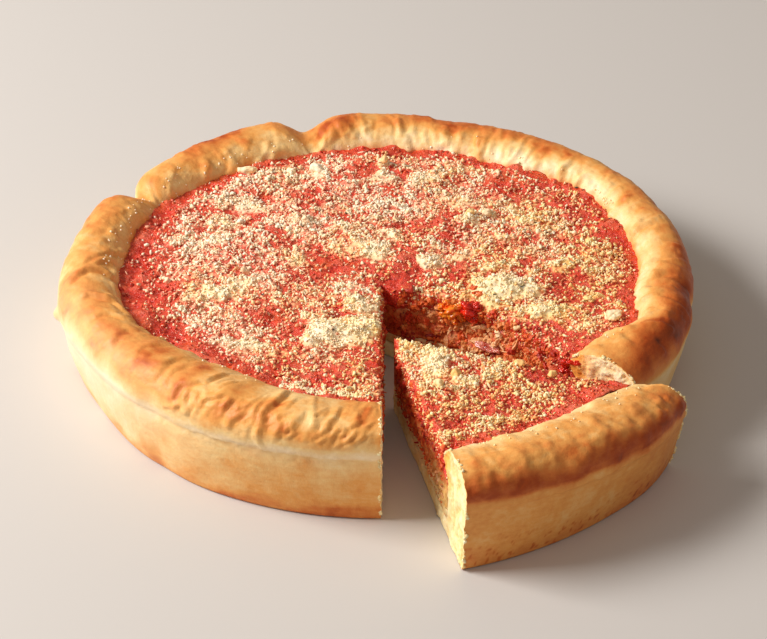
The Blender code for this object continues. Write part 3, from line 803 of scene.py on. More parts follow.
class Look:
    """A material, and short words for the nodes that the looks here are made of."""

    def __init__(self, name):
        self.made = bpy.data.materials.new(name)
        self.made.use_nodes = True
        self.nodes = self.made.node_tree.nodes
        self.shader = self.nodes["Principled BSDF"]
        self.place = self.nodes.new("ShaderNodeTexCoord").outputs["Object"]

    def fed(self, node, sockets, output=0):
        """Give a node's sockets their values or links, and say which output to use."""
        for key, value in sockets.items():
            if isinstance(value, bpy.types.NodeSocket):
                self.made.node_tree.links.new(value, node.inputs[key])
            else:
                node.inputs[key].default_value = value
        return node.outputs[output]

    def value(self, name, output="Fac"):
        node = self.nodes.new("ShaderNodeAttribute")
        node.attribute_name = name
        return node.outputs[output]

    def noise(self, scale, detail, roughness=0.6, distortion=0.0, place=None):
        node = self.nodes.new("ShaderNodeTexNoise")
        place = self.place if place is None else place
        sockets = {"Scale": scale, "Detail": detail, "Roughness": roughness, "Distortion": distortion}
        return self.fed(node, {**sockets, "Vector": place}, "Fac")

    def line(self, value, times, plus=0.0, clamp=False):
        """A value times another, plus a third."""
        node = self.nodes.new("ShaderNodeMath")
        node.operation = "MULTIPLY_ADD"
        node.use_clamp = clamp
        return self.fed(node, {0: value, 1: times, 2: plus})

    def varied(self, value, *layers):
        """The value with the ups and downs of each layer of noise added, each so strong."""
        for layer_of_noise, much in layers:
            value = self.line(layer_of_noise, much, self.line(value, 1.0, -much / 2))
        return value

    def ramp(self, value, *stops):
        """Colours along a value: each stop is where it lies, red, green and blue."""
        node = self.nodes.new("ShaderNodeValToRGB")
        elements = node.color_ramp.elements
        while len(elements) < len(stops):
            elements.new(0.5)
        for element, (at, *colour) in zip(elements, stops):
            element.position = at
            element.color = srgb(*colour)
        return self.fed(node, {"Fac": value}, "Color")

    def mixed(self, share, a, b):
        node = self.nodes.new("ShaderNodeMix")
        node.data_type = "RGBA"
        return self.fed(node, {"Factor": share, "A": a, "B": b}, "Result")

    def bump(self, height, strength, distance, **before):
        sockets = {"Strength": strength, "Distance": distance, "Height": height, **before}
        return self.fed(self.nodes.new("ShaderNodeBump"), sockets, "Normal")

    def finished(self, colour, rough, normal, specular=0.5, glow=(0.0, (1.0, 0.2, 0.1), 0.05)):
        """The material with its shader fed; glow is the subsurface weight, radius and scale."""
        sockets = {"Base Color": colour, "Roughness": rough, "Normal": normal, "Specular IOR Level": specular}
        self.fed(self.shader, {**sockets, **dict(zip(GLOW_SOCKETS, glow))})
        return self.made


GLOW_SOCKETS = ("Subsurface Weight", "Subsurface Radius", "Subsurface Scale")


def dough_material():
    look = Look("baked_dough")
    fine, grain, cloudy = look.noise(420, 4, 0.65), look.noise(1500, 2), look.noise(95, 4)
    mapping = look.nodes.new("ShaderNodeMapping")
    drawn = look.fed(mapping, {"Vector": look.value("skin", "Vector"), "Scale": (0.20, 0.55, 1.0)})
    streaks = look.noise(1.0, 5, 0.66, place=drawn)
    bake = look.varied(look.value("bake"), (fine, 0.18), (streaks, 0.22), (cloudy, 0.24))
    colour = look.ramp(
        look.line(look.line(look.value("scorch"), 0.16, bake), 0.83),
        (0.0, 252, 232, 194),
        (0.18, 244, 205, 139),
        (0.36, 233, 163, 84),
        (0.54, 212, 118, 50),
        (0.74, 172, 72, 16),
        (1.0, 96, 36, 8),
    )
    # Pale flour on the crease, and painted glare on the wall that the key lamp lights
    flour_and_painted_glare = look.line(look.value("pale"), look.line(streaks, 1.4, 0.05), clamp=True)
    colour = look.mixed(flour_and_painted_glare, colour, srgb(247, 220, 190))
    grease = look.line(look.value("grease"), look.line(cloudy, 1.4, 0.1), clamp=True)
    colour = look.mixed(grease, colour, srgb(236, 138, 36))
    rough = look.line(grease, -0.22, look.line(fine, 0.2, 0.40))
    normal = look.bump(fine, 0.35, 0.0008, Normal=look.bump(grain, 0.25, 0.0003))
    return look.finished(colour, rough, normal, 0.30)


def crumb_material():
    look = Look("dough_crumb")
    fine, broad = look.noise(700, 4, 0.65), look.noise(210, 3)
    value = look.varied(look.value("bake"), (fine, 0.4), (broad, 0.6))
    colour = look.ramp(
        value,
        (0.0, 255, 240, 196),
        (0.34, 246, 216, 152),
        (0.66, 230, 180, 108),
        (1.0, 184, 116, 54),
    )
    soaked = look.line(look.value("grease"), look.line(broad, 1.0, 0.45), clamp=True)
    colour = look.mixed(soaked, colour, srgb(255, 174, 80))
    return look.finished(colour, 0.75, look.bump(fine, 0.4, 0.0008), 0.2, (0.2, (1.0, 0.8, 0.6), 0.0010))


def sauce_material():
    look = Look("tomato_sauce")
    fine, small = look.noise(900, 3), look.noise(520, 4, 0.7, 0.8)
    pulp = look.line(look.noise(240, 5, 0.68, 0.6), 0.6, look.line(small, 0.4))
    colour = look.ramp(
        pulp,
        (0.25, 142, 18, 10),
        (0.42, 216, 46, 28),
        (0.56, 236, 76, 50),
        (0.76, 252, 146, 106),
    )
    oil = look.line(look.value("oil"), look.line(pulp, 1.0, 0.35), clamp=True)
    raised = look.line(look.value("relief"), look.line(small, 1.0, 0.1), clamp=True)
    sunk = look.line(look.value("relief"), -0.45, -0.10, clamp=True)
    dust = look.line(look.value("cover"), look.line(fine, 1.0, 0.25))
    for share, over in (
        (oil, (232, 96, 22)),
        (look.line(raised, 0.7), (244, 128, 96)),
        (sunk, (150, 20, 14)),
        (look.line(dust, 0.42), (230, 136, 96)),
    ):
        colour = look.mixed(share, colour, srgb(*over))
    normal = look.bump(pulp, 1.0, 0.0020, Normal=look.bump(fine, 0.6, 0.0006))
    return look.finished(colour, look.line(fine, 0.3, 0.15), normal)


def sausage_material():
    look = Look("crumbled_sausage")
    coarse, fine = look.noise(230, 4, 0.66, 0.4), look.noise(800, 4)
    colour = look.ramp(
        coarse,
        (0.28, 124, 30, 14),
        (0.42, 184, 58, 26),
        (0.52, 210, 94, 44),
        (0.62, 222, 138, 78),
        (0.78, 236, 180, 124),
    )
    tan = look.ramp(coarse, (0.3, 196, 134, 62), (0.5, 224, 172, 96), (0.7, 240, 206, 140))
    colour = look.mixed(look.value("melted"), colour, tan)
    return look.finished(colour, look.line(fine, 0.3, 0.30), look.bump(fine, 0.5, 0.0008))


def cheese_material():
    look = Look("melted_cheese")
    colour = look.ramp(look.noise(160, 3), (0.3, 232, 176, 96), (0.55, 250, 222, 158), (0.8, 254, 240, 204))
    return look.finished(colour, 0.4, look.bump(look.noise(700, 3), 0.35, 0.0006))


def grated_material():
    look = Look("grated_cheese")
    fine = look.noise(900, 3)
    value = look.varied(look.value("tone"), (fine, 0.3))
    pink = look.ramp(
        value,
        (0.0, 255, 243, 218),
        (0.22, 255, 232, 198),
        (0.42, 253, 212, 176),
        (0.66, 242, 152, 120),
        (1.0, 200, 50, 38),
    )
    tan = look.ramp(
        value,
        (0.0, 255, 238, 190),
        (0.22, 255, 226, 154),
        (0.42, 252, 198, 118),
        (0.66, 236, 146, 92),
        (1.0, 188, 50, 30),
    )
    colour = look.mixed(look.value("toast"), pink, tan)
    return look.finished(colour, 0.6, look.bump(fine, 0.3, 0.0004), 0.35)


def herb_material():
    look = Look("dried_herb")
    grain = look.noise(900, 3)
    colour = look.ramp(grain, (0.3, 34, 24, 18), (0.55, 66, 56, 34), (0.8, 98, 104, 62))
    return look.finished(colour, look.line(grain, 0.3, 0.5), look.bump(grain, 0.4, 0.0004))


def meat_material():
    look = Look("sausage_crumb")
    fine = look.noise(620, 4, 0.65)
    colour = look.ramp(
        look.varied(look.value("tone"), (fine, 0.5)),
        (0.0, 146, 30, 14),
        (0.20, 196, 52, 26),
        (0.38, 226, 100, 40),
        (0.56, 220, 132, 66),
        (0.78, 242, 182, 126),
        (1.0, 253, 222, 174),
    )
    return look.finished(colour, look.line(fine, 0.3, 0.30), look.bump(fine, 0.6, 0.0010), 0.4)


def tomato_material(name, deep, bright):
    """Wet tomato flesh."""
    look = Look(name)
    flesh = look.noise(330, 4, 0.6, 0.5)
    colour = look.ramp(flesh, (0.38, *deep), (0.62, *bright))
    rough = look.line(flesh, 0.25, 0.08)
    return look.finished(colour, rough, look.bump(flesh, 0.5, 0.0012), 0.5, (0.4, (1.0, 0.3, 0.12), 0.0018))


dough = dough_material()
crumb = crumb_material()
sauce = sauce_material()
sausage = sausage_material()
melted = cheese_material()
grated = grated_material()

# The slice's crumb is painted darker than the pizza's to offset the lamp on its lit cut: painted light
crust("crust", PIZZA, 0.42, pizza_relief, pizza_bake, 0.0)
crust("crust_of_slice", SLICE, 0.38, slice_relief, slice_bake, 0.20)


# ---------------------------------------------------------------- the filling
def heap_height(flat, heaps):
    """Height in mm of the heaped cheese over each place, also in mm."""
    wide = 3.2 * noise(flat, 9.0, 65) + 1.6 * noise(flat, 4.0, 67)
    deep = 3.2 * noise(flat, 9.0, 66) + 1.6 * noise(flat, 4.0, 68)
    total = np.zeros(len(flat))
    for x, y, half_width, half_depth, height in heaps:
        gap = ((flat[:, 0] + wide - x) / half_width) ** 2 + ((flat[:, 1] + deep - y) / half_depth) ** 2
        total = np.maximum(total, height * np.exp(-gap))
    rough = 1 + 0.30 * noise(flat, 6.0, 61) + 0.15 * noise(flat, 2.6, 62)
    return np.maximum(0, total * rough - 0.25)


def over_food(part, x, y):
    """For places in a part's plan: mm from the rim, cheese cover 0 to 1, heap height, and place in mm."""
    flat = np.stack([(x + part.point[0]) * IN_MM, (y + part.point[1]) * IN_MM, 0 * x], axis=1)
    theta = np.degrees(np.arctan2(flat[:, 1], flat[:, 0]))
    rim = rim_at(part.stations, counted_on(theta, part, 15))
    edge = pocket_radius(rim, SAUCE_TOP) * IN_MM - np.hypot(flat[:, 0], flat[:, 1])
    bare_width = 11.0
    if part is PIZZA:
        turn = (theta + 90) % 360 - 90
        bare_width = 8 + 19 * bell(turn, 186, 40, 44) + 5 * bell(turn, 75, 18, 24) + 3 * bell(turn, 25, 14)
    cover = (0.66 + 0.60 * layered(flat, 20.0, 3, 64)) * smooth(0.15, 1.0, edge / bare_width)
    for bare_x, bare_y, radius in part.bare:
        gap = (flat[:, 0] - bare_x) ** 2 + (flat[:, 1] - bare_y) ** 2
        cover = cover * (1 - 0.85 * np.exp(-gap / radius**2))
    heap = heap_height(flat, part.heaps)
    return edge, np.clip(np.maximum(cover, smooth(0.0, 0.7, heap)), 0, 1), heap, flat


def layer_ring(part, height, step):
    """A layer's outline at a height, out along the first cut, where cut is 1, and round to where it is -1."""
    first, last = part.span
    spread = int(0.095 / step)
    shares = np.arange(1, spread + 1) / (spread + 1)
    arc = np.linspace(first, last, max(int((last - first) * 1.6 / (step * IN_MM)), 12))
    rim = rim_at(part.stations, angle_on_rim(arc, part.point))
    outer = reach(pocket_radius(rim, height) - SIDE_GAP, arc, part.point)
    angles = np.concatenate([np.full(spread + 1, first), arc, np.full(spread, last)])
    distance = np.concatenate([[0.0], shares * outer[0], outer, shares[::-1] * outer[-1]])
    cut = np.concatenate([np.ones(spread + 1), np.zeros(len(arc)), -np.ones(spread)])
    return distance, angles, cut


def top_height(added, part, caves):
    """The wavy top's height at places in plan, found from where each lay before the filling caved."""
    before, slumped = added, 0.0
    for _ in range(3 if caves else 0):
        turns = counted_on(np.degrees(np.arctan2(before[:, 1], before[:, 0])), part, 20)
        shift = caved(np.hypot(before[:, 0], before[:, 1]), turns, SAUCE_TOP, part.span)
        before, slumped = added - shift[:, :2], shift[:, 2]
    return sauce_height(before[:, 0], before[:, 1]) + slumped


def layer(part, kind, bottom, top, material, slot, bulk, lump, rounding):
    """One layer of the filling: a wall all round, with lumps where it is cut, and a top and a bottom."""
    wavy, caves = kind == "sauce", part is PIZZA
    cell, step = (0.00096, 0.0008) if wavy else (0.006, 0.00095)
    levels = max(int((top - bottom) / step), 5)
    rings, outs = [], []
    for k in range(levels + 1):
        height = bottom + (top - bottom) * k / levels
        distance, angles, cut = layer_ring(part, height, step)
        here = placed(distance, angles, height)
        if wavy:
            here[:, 2] += (sauce_height(here[:, 0], here[:, 1]) - SAUCE_TOP) * k / levels
        if caves:
            here = here + caved(distance, angles, here[:, 2], part.span)
        rings.append(here)
        turn = np.radians(angles)
        outs.append(np.stack([np.sin(turn) * cut, -np.cos(turn) * cut, 0 * cut], axis=1))
    rings, outs = np.array(rings), np.array(outs)
    count = rings.shape[1]
    flat = rings.reshape(-1, 3)
    bulge = 1.9 * (0.5 - spot_distance(flat, lump, 71)) + 0.9 * (0.5 - spot_distance(flat, lump * 0.45, 73))
    bulge = bulk * (bulge + 0.5 * noise(flat, lump * 1.6, 74) + 0.1).reshape(levels + 1, count)
    bulge = bulge - rounding * smooth(0.72, 1.0, np.linspace(0, 1, levels + 1)[:, None]) ** 2
    bulge = bulge * smooth(0.002, 0.010, np.hypot(rings[..., 0], rings[..., 1]))
    rings = rings + outs * bulge[..., None] * MM
    first = np.arange(levels) * count
    faces = [grid_faces(levels + 1, count)]
    faces.append(np.stack([first + count - 1, first + 2 * count - 1, first + count, first], axis=1))
    points = [rings.reshape(-1, 3)]
    total = len(points[0])
    for level, size in ((0, 0.007), (levels, cell)):
        added, triangles = filled(rings[level][:, :2], size, 81 + level)
        heights = np.full(len(added), top if level else bottom)
        if level and wavy:
            heights = top_height(added, part, caves)
        points.append(np.column_stack([added, heights]))
        numbers = np.concatenate([level * count + np.arange(count), total + np.arange(len(added))])
        faces.append(numbers[triangles])
        total += len(added)
    values = {}
    if kind == "sausage" and part is SLICE:
        far = smooth(0.050, 0.080, np.hypot(rings[..., 0], rings[..., 1]))
        low = 1 - smooth(SAUSAGE_TOP - 0.006, SAUSAGE_TOP + 0.001, rings[..., 2])
        values["melted"] = np.pad((far * low).ravel(), (0, total - low.size))
    top_start = total - len(points[-1])
    points = np.concatenate(points)
    if wavy:
        on_top = np.zeros(total, bool)
        on_top[levels * count : (levels + 1) * count] = True
        on_top[top_start:] = True
        values = dress_sauce(part, points, on_top)
    mesh = mesh_of(f"{part.prefix}_{kind}_layer", turned(points, part.place, part.turn), faces)
    put_values(mesh, **values)
    piece(mesh.name, mesh, [material], [f"{part.prefix}_{kind}"])
    mend(mesh)


def dress_sauce(part, points, on_top):
    """Put relief on the sauce's top, and give each point its cheese dust, its oil and its relief in mm."""
    edge, cover, heap, flat = over_food(part, points[on_top, 0], points[on_top, 1])
    theta = np.degrees(np.arctan2(flat[:, 1], flat[:, 0]))
    rim = rim_at(part.stations, counted_on(theta, part, 15))
    relief = 1.05 * (0.5 - spot_distance(flat, 5.5, 91)) + 0.50 * (0.5 - spot_distance(flat, 2.2, 92))
    relief += 0.55 * layered(flat, 15.0, 2, 93) + 0.34 * noise(flat, 1.7, 94)
    relief -= 0.9 * smooth(0.45, 0.95, noise(flat, 13.0, 96))
    relief = relief * (1 + 0.75 * (1 - cover)) + 0.35 * (1 - cover) * noise(flat, 2.6, 102)
    relief = relief * smooth(0.0, 2.5, edge)
    relief += (part.banked + 0.9 * layered(flat, 8.0, 2, 100)) * bell(edge, 0.0, 5.0)
    points[on_top, 2] += (relief + 0.55 * heap) * MM
    slope = (pocket_radius(rim, SAUCE_TOP + MM) - pocket_radius(rim, SAUCE_TOP)) * IN_MM
    outward = np.clip(slope, 0, 2) * relief * smooth(1.6, 0.3, edge)
    outward = (outward + (part.spread + 0.5 * noise(flat, 3.0, 101)) * smooth(4.0, 0.3, edge)) * MM
    points[on_top, :2] += flat[:, :2] / np.linalg.norm(flat, axis=1)[:, None] * outward[:, None]
    oil = smooth(5.0, 0.5, edge + 2.0 * noise(flat, 6.0, 97))
    oil = oil * (0.25 + 0.5 * smooth(-0.1, 0.5, noise(flat, 15.0, 99)))
    oil = np.maximum(oil, smooth(0.25, 0.8, layered(flat, 12.0, 2, 98)) * 0.5)
    values = {"cover": cover, "oil": oil, "relief": relief}
    for key in values:
        every = np.zeros(len(points))
        every[on_top] = values[key]
        values[key] = every
    return values


# Kind, bottom, top, material, slot, how lumpy a cut face is, how wide its lumps are, how round its top edge
for kind, *sizes in (
    ("cheese", DOUGH_TOP + LAYER_GAP, CHEESE_TOP, melted, "melted_cheese", 0.35, 0.0045, 0.0),
    ("sausage", CHEESE_TOP + LAYER_GAP, SAUSAGE_TOP, sausage, "crumbled_sausage", 1.1, 0.0052, 0.0),
    ("sauce", SAUSAGE_TOP + LAYER_GAP, SAUCE_TOP, sauce, "tomato_sauce", 0.9, 0.0042, 1.1),
):
    for part in (PIZZA, SLICE):
        layer(part, kind, *sizes)


# ---------------------------------------------------------------- grated cheese, crumbs and flecks
def toasted(points):
    """How tan rather than pink the cheese is: more so to the right and the front."""
    flat = (points - RIM_CENTRE) * IN_MM * np.array([1, 1, 0])
    tan = 0.43 + 0.0046 * flat[:, 0] - 0.0035 * flat[:, 1]
    return np.clip(tan + 0.45 * layered(flat, 26.0, 2, 141), 0, 1)


def crumb_shapes(subdivisions, kinds, seed, rough, long_share=0.0):
    """A few uneven crumb shapes, each about 1 in radius, with the same faces; a share of them long."""
    draw = np.random.RandomState(seed)
    if subdivisions:
        bm = bmesh.new()
        bmesh.ops.create_icosphere(bm, subdivisions=subdivisions, radius=1.0)
        bm.verts.ensure_lookup_table()
        points = np.array([v.co for v in bm.verts])
        faces = np.array([[v.index for v in f.verts] for f in bm.faces])
        bm.free()
    else:
        points = np.concatenate([np.eye(3), -np.eye(3)])
        corners = ((0, 1, 2), (1, 3, 2), (3, 4, 2), (4, 0, 2), (1, 0, 5), (3, 1, 5), (4, 3, 5), (0, 4, 5))
        faces = np.array(corners)
    shapes = []
    for kind in range(kinds):
        radius = 1 + rough * noise(points, 0.9, seed + kind * 5)
        radius += 0.6 * rough * noise(points, 0.45, seed + kind * 7)
        radius += 0.3 * rough / max(subdivisions, 1) ** 1.5 * draw.normal(size=len(points))
        stretch = draw.uniform(0.65, 1.25, 3)
        if kind < long_share * kinds:
            stretch = draw.uniform((0.40, 0.40, 1.40), (0.60, 0.70, 2.10))
        shapes.append(points * radius[:, None] * stretch)
    return np.array(shapes), faces


def scattered(name, places, sizes, tones, shapes, material, slot, seed, smooth_shaded=True, soaked=0.0):
    """Crumbs joined into one mesh, each turned its own way, and redder on its underside: partly soaked with
    sauce, partly painted warm shade.
    """
    draw = np.random.RandomState(seed)
    shapes, base = shapes
    count = len(places)
    quaternions = draw.normal(size=(count, 4))
    quaternions /= np.linalg.norm(quaternions, axis=1, keepdims=True)
    w, x, y, z = quaternions.T
    turns = np.empty((count, 3, 3))
    turns[:, 0] = np.stack([1 - 2 * (y * y + z * z), 2 * (x * y - z * w), 2 * (x * z + y * w)], axis=1)
    turns[:, 1] = np.stack([2 * (x * y + z * w), 1 - 2 * (x * x + z * z), 2 * (y * z - x * w)], axis=1)
    turns[:, 2] = np.stack([2 * (x * z - y * w), 2 * (y * z + x * w), 1 - 2 * (x * x + y * y)], axis=1)
    body = shapes[draw.randint(0, len(shapes), count)]
    points = np.einsum("nij,nvj->nvi", turns, body) * sizes[:, None, None]
    # How low each point lies on its crumb, for the redder underside: sauce soak and painted warm shade
    below = np.maximum(-points[..., 2] / sizes[:, None], -0.3).ravel()
    points = (points + places[:, None, :]).reshape(-1, 3)
    per = body.shape[1]
    faces = (base[None, :, :] + (np.arange(count) * per)[:, None, None]).reshape(-1, 3)
    mesh = mesh_of(name, points, [faces])
    tone = np.clip(np.repeat(tones, per) + np.repeat(soaked + 0 * tones, per) * below, 0, 1)
    toast = np.clip(toasted(points) + np.repeat(draw.normal(0, 0.25, count), per), 0, 1)
    put_values(mesh, tone=tone, toast=toast)
    piece(name, mesh, [material])
    if not smooth_shaded:
        mesh.shade_flat()
    return mesh


surfaces = {}


def surface(name):
    """A piece's surface, to send rays at."""
    if name not in surfaces:
        mesh = bpy.data.objects[name].data
        points = np.empty(len(mesh.vertices) * 3)
        mesh.vertices.foreach_get("co", points)
        mesh.calc_loop_triangles()
        faces = np.empty(len(mesh.loop_triangles) * 3, np.int32)
        mesh.loop_triangles.foreach_get("vertices", faces)
        surfaces[name] = BVHTree.FromPolygons(points.reshape(-1, 3).tolist(), faces.reshape(-1, 3).tolist())
    return surfaces[name]


def dropped(xy, *names):
    """How high the highest of some pieces is at each place in plan, and where the first of them is there."""
    down = Vector((0, 0, -1))
    heights = np.zeros((len(names), len(xy)))
    met = np.zeros((len(names), len(xy)), bool)
    for row, tree in enumerate(map(surface, names)):
        for k, (x, y) in enumerate(xy):
            place = tree.ray_cast(Vector((x, y, ABOVE_ALL)), down)[0]
            if place is not None:
                heights[row, k] = place.z
                met[row, k] = True
    return heights.max(axis=0), met[0]


def cheese_bed(part, step, seed):
    """The cheese that has settled and fused: a lumpy sheet that dips under the sauce wherever it is thin."""
    draw = np.random.RandomState(seed)
    half_width = 0.110
    rows, columns = int(2 * half_width / (step * ROW_SHARE)), int(2 * half_width / step)
    i, j = np.meshgrid(np.arange(rows), np.arange(columns), indexing="ij")
    x = ((j + 0.5 * (i % 2)) * step - half_width - part.point[0]).ravel()
    y = (i * step * ROW_SHARE - half_width - part.point[1]).ravel()
    x = x + draw.uniform(-0.3, 0.3, len(x)) * step
    y = y + draw.uniform(-0.3, 0.3, len(y)) * step
    angles = counted_on(np.degrees(np.arctan2(y, x)), part, 2)
    edge, cover, heap, flat = over_food(part, x, y)
    valid = (edge > 0.2) & (angles > part.span[0] - 1) & (angles < part.span[1] + 1)
    number = np.full(len(x), -1)
    number[valid] = np.arange(valid.sum())
    x, y, cover, heap, flat = x[valid], y[valid], cover[valid], heap[valid], flat[valid]
    world = turned(np.column_stack([x, y, 0 * x]), part.place, part.turn)
    heights, met = dropped(world[:, :2], f"{part.prefix}_sauce_layer")
    met &= heights > SAUCE_TOP - 0.0075
    lumps = 0.62 - spot_distance(flat, 2.1, seed + 1)
    grains = 0.62 - spot_distance(flat, 1.25, seed + 2)
    fluffy = smooth(0.2, 1.6, heap)
    thick = -0.98 + 1.06 * smooth(0.05, 0.80, cover) + 0.40 * layered(flat, 7.0, 2, seed + 3)
    thick = thick + 1.00 * lumps + 0.65 * grains + draw.normal(0, 0.10, len(x))
    thick = thick * 0.60 + 0.75 * heap + 0.12 * fluffy * noise(flat, 3.2, seed + 4)
    grid = number.reshape(rows, columns)
    a, b, c, d = grid[:-1, :-1], grid[:-1, 1:], grid[1:, :-1], grid[1:, 1:]
    odd = (i[:-1, :-1] % 2 == 1)[..., None]
    first = np.where(odd, np.stack([a, b, d], -1), np.stack([a, b, c], -1)).reshape(-1, 3)
    second = np.where(odd, np.stack([a, d, c], -1), np.stack([b, d, c], -1)).reshape(-1, 3)
    faces = np.concatenate([first, second])
    faces = faces[(faces >= 0).all(axis=1)]
    faces = faces[met[faces].all(axis=1)]
    at_border = np.bincount(faces.ravel(), minlength=len(x)) < 6
    thick = np.maximum(np.where(at_border, -0.15, thick), -0.30)
    faces = faces[(thick[faces] > 0.0).any(axis=1)]
    used = np.unique(faces)
    renumber = np.zeros(len(x), int)
    renumber[used] = np.arange(len(used))
    world[:, 2] = heights + thick * MM
    # Painted shade: the tone turns redder and darker in the crevices between lumps, less so on the heaps
    painted_crevice_shade = 0.55 - 0.8 * lumps - 0.6 * grains
    tone = 0.72 - 0.42 * smooth(0.0, 0.45, thick) - 0.24 * fluffy + (0.40 - 0.32 * fluffy) * painted_crevice_shade
    tone = tone + (0.12 * layered(flat, 15.0, 2, 131) + 0.12 * noise(flat, 4.0, 132))
    tone = np.clip(tone + draw.normal(0, 0.10, len(x)), 0, 1)
    mesh = mesh_of(f"{part.prefix}_cheese_bed", world[used], [renumber[faces]])
    put_values(mesh, tone=tone[used], toast=toasted(world[used]))
    piece(mesh.name, mesh, [grated])


def anywhere(part, draw, innermost, count):
    """Places drawn all over a part's own plan."""
    radius = np.sqrt(draw.uniform(innermost, 1, count)) * FURTHEST
    angles = np.radians(draw.uniform(*part.span, count))
    return radius * np.cos(angles), radius * np.sin(angles)


def spread_cheese(part, count, seed):
    """Where grated cheese lies: places in plan, with the cover, the heap and how high it is piled there."""
    draw = np.random.RandomState(seed)
    thinnest = 0.20
    x, y = anywhere(part, draw, 0, count)
    joined = draw.uniform(0, 1, count) < 0.55
    centre = draw.randint(0, count // 9, count)
    apart = draw.normal(0, 0.85, (count, 2)) * MM
    x = np.where(joined, x[centre] + apart[:, 0], x)
    y = np.where(joined, y[centre] + apart[:, 1], y)
    piled = joined * np.exp(-(apart**2).sum(axis=1) / MM**2) * draw.uniform(0, 0.9, count)
    edge, cover, heap, _ = over_food(part, x, y)
    share = thinnest * (0.3 + 0.7 * smooth(0.0, 0.30, cover)) + (1 - thinnest) * cover
    keep = (edge > -1.0) & (draw.uniform(0, 1, count) < share)
    world = turned(np.column_stack([x, y, 0 * x]), part.place, part.turn)
    return world[keep, :2], cover[keep], heap[keep], piled[keep]


def cheese_over(part, step, counts, seed):
    """A part's grated cheese: the bed, and loose crumbs of three sizes on it and on the sauce."""
    cheese_bed(part, step, seed + 50)
    draw = np.random.RandomState(seed)
    for (kind, low, high, detail), count in zip(GRATED_KINDS, counts):
        xy, cover, heap, piled = spread_cheese(part, count, seed + count % 97)
        heights, keep = dropped(xy, f"{part.prefix}_sauce_layer", f"{part.prefix}_cheese_bed")
        if kind == "clumps":
            keep &= draw.uniform(0, 1, len(xy)) < 0.25 + 0.75 * smooth(0.3, 1.6, heap)
        xy, cover, heap, piled, heights = (values[keep] for values in (xy, cover, heap, piled, heights))
        count = len(xy)
        sizes = draw.uniform(low, high, count) * draw.uniform(0.8, 1.2, count) * MM
        sizes *= 0.92 - 0.16 * smooth(0.4, 1.6, heap)
        stained = (draw.uniform(0, 1, count) < 0.78) * (1 - smooth(0.08, 0.60, cover))
        lift = 0.30 - 0.40 * stained - 0.22 * smooth(0.4, 1.6, heap)
        places = np.column_stack([xy, heights + piled * MM + sizes * lift])
        flat = np.column_stack([xy * IN_MM, 0 * heights])
        patchy = 0.20 * layered(flat, 16.0, 2, 131) + 0.14 * noise(flat, 5.0, 133)
        fluffy = smooth(0.1, 1.4, heap)
        tones = 0.35 + patchy + draw.normal(0, 0.21, count) - 0.10 * piled - (0.28 + patchy) * fluffy
        tones = np.clip(tones + 0.50 * stained, 0, 0.95)
        shapes = crumb_shapes(detail, 16, seed + 3, 0.66, 0.16)
        name = f"{part.prefix}_cheese_{kind}"
        # Crumbs redder underneath: sauce soak and painted warm shade, less of it on the heaps
        soaked = 0.42 - 0.30 * fluffy
        scattered(name, places, sizes, tones, shapes, grated, "grated_cheese", seed + 9, True, soaked)


# Kinds of loose grated cheese: smallest and largest half size in mm, and how finely each is shaped
GRATED_KINDS = (("fine", 0.36, 0.66, 0), ("crumbs", 0.52, 0.86, 1), ("clumps", 0.70, 1.15, 1))
cheese_over(PIZZA, 0.00072, (25000, 21000, 5600), 201)
cheese_over(SLICE, 0.00060, (8600, 7400, 2800), 301)


def grains(name, places, low, high, tones, seed):
    """Single grains of cheese, sunk a little into what they lie on."""
    sizes = np.random.RandomState(seed).uniform(low, high, len(places)) * MM
    places = places + np.column_stack([0 * sizes, 0 * sizes, sizes * 0.3])
    shapes = crumb_shapes(1, 6, seed + 1, 0.34)
    scattered(name, places, sizes, tones, shapes, grated, "grated_cheese", seed + 2)


def round_rim(angles, radii):
    """Places in plan from angles about the rim's centre and radii in mm."""
    angles = np.radians(angles)
    return np.column_stack([radii * MM * np.cos(angles), radii * MM * np.sin(angles)]) + RIM_CENTRE[:2]


def rim_dust():
    """Loose grains that have fallen on the crust: on which, between which angles and radii, and how many."""
    places = []
    for k, (name, angles, radii, count) in enumerate(
        (
            ("crust", (140, 186), (102, 112), 70),
            ("crust", (108, 140), (98, 106), 36),
            ("crust", (26, 34), (103, 110), 60),
            ("crust", (-10, 100), (99, 108), 36),
            ("crust", (200, 268), (92, 102), 22),
            ("crust", (-34, -20), (96, 110), 16),
            ("crust_of_slice", (284, 322), (124, 140), 40),
        )
    ):
        draw = np.random.RandomState(410 + k)
        xy = round_rim(draw.uniform(*angles, count), draw.uniform(*radii, count))
        heights, met = dropped(xy, name)
        places.append(np.column_stack([xy, heights])[met])
    places = np.concatenate(places)
    tones = np.clip(np.random.RandomState(401).normal(0.10, 0.08, len(places)), 0, 1)
    grains("rim_grains", places, 0.20, 0.52, tones, 420)


def dust_line():
    """The line of white grains along the crust's inner edge at the front."""
    draw = np.random.RandomState(431)
    share = draw.uniform(0, 1, 520)
    xy = round_rim(244.5 + 24.0 * share, 90.2 - 0.6 * share - 3.2 * np.abs(draw.normal(0, 0.55, len(share))))
    heights = dropped(xy, "pizza_sauce_layer", "crust")[0]
    tones = np.clip(draw.normal(0.04, 0.05, len(xy)), 0, 1)
    grains("edge_grains", np.column_stack([xy, heights]), 0.30, 0.62, tones, 441)


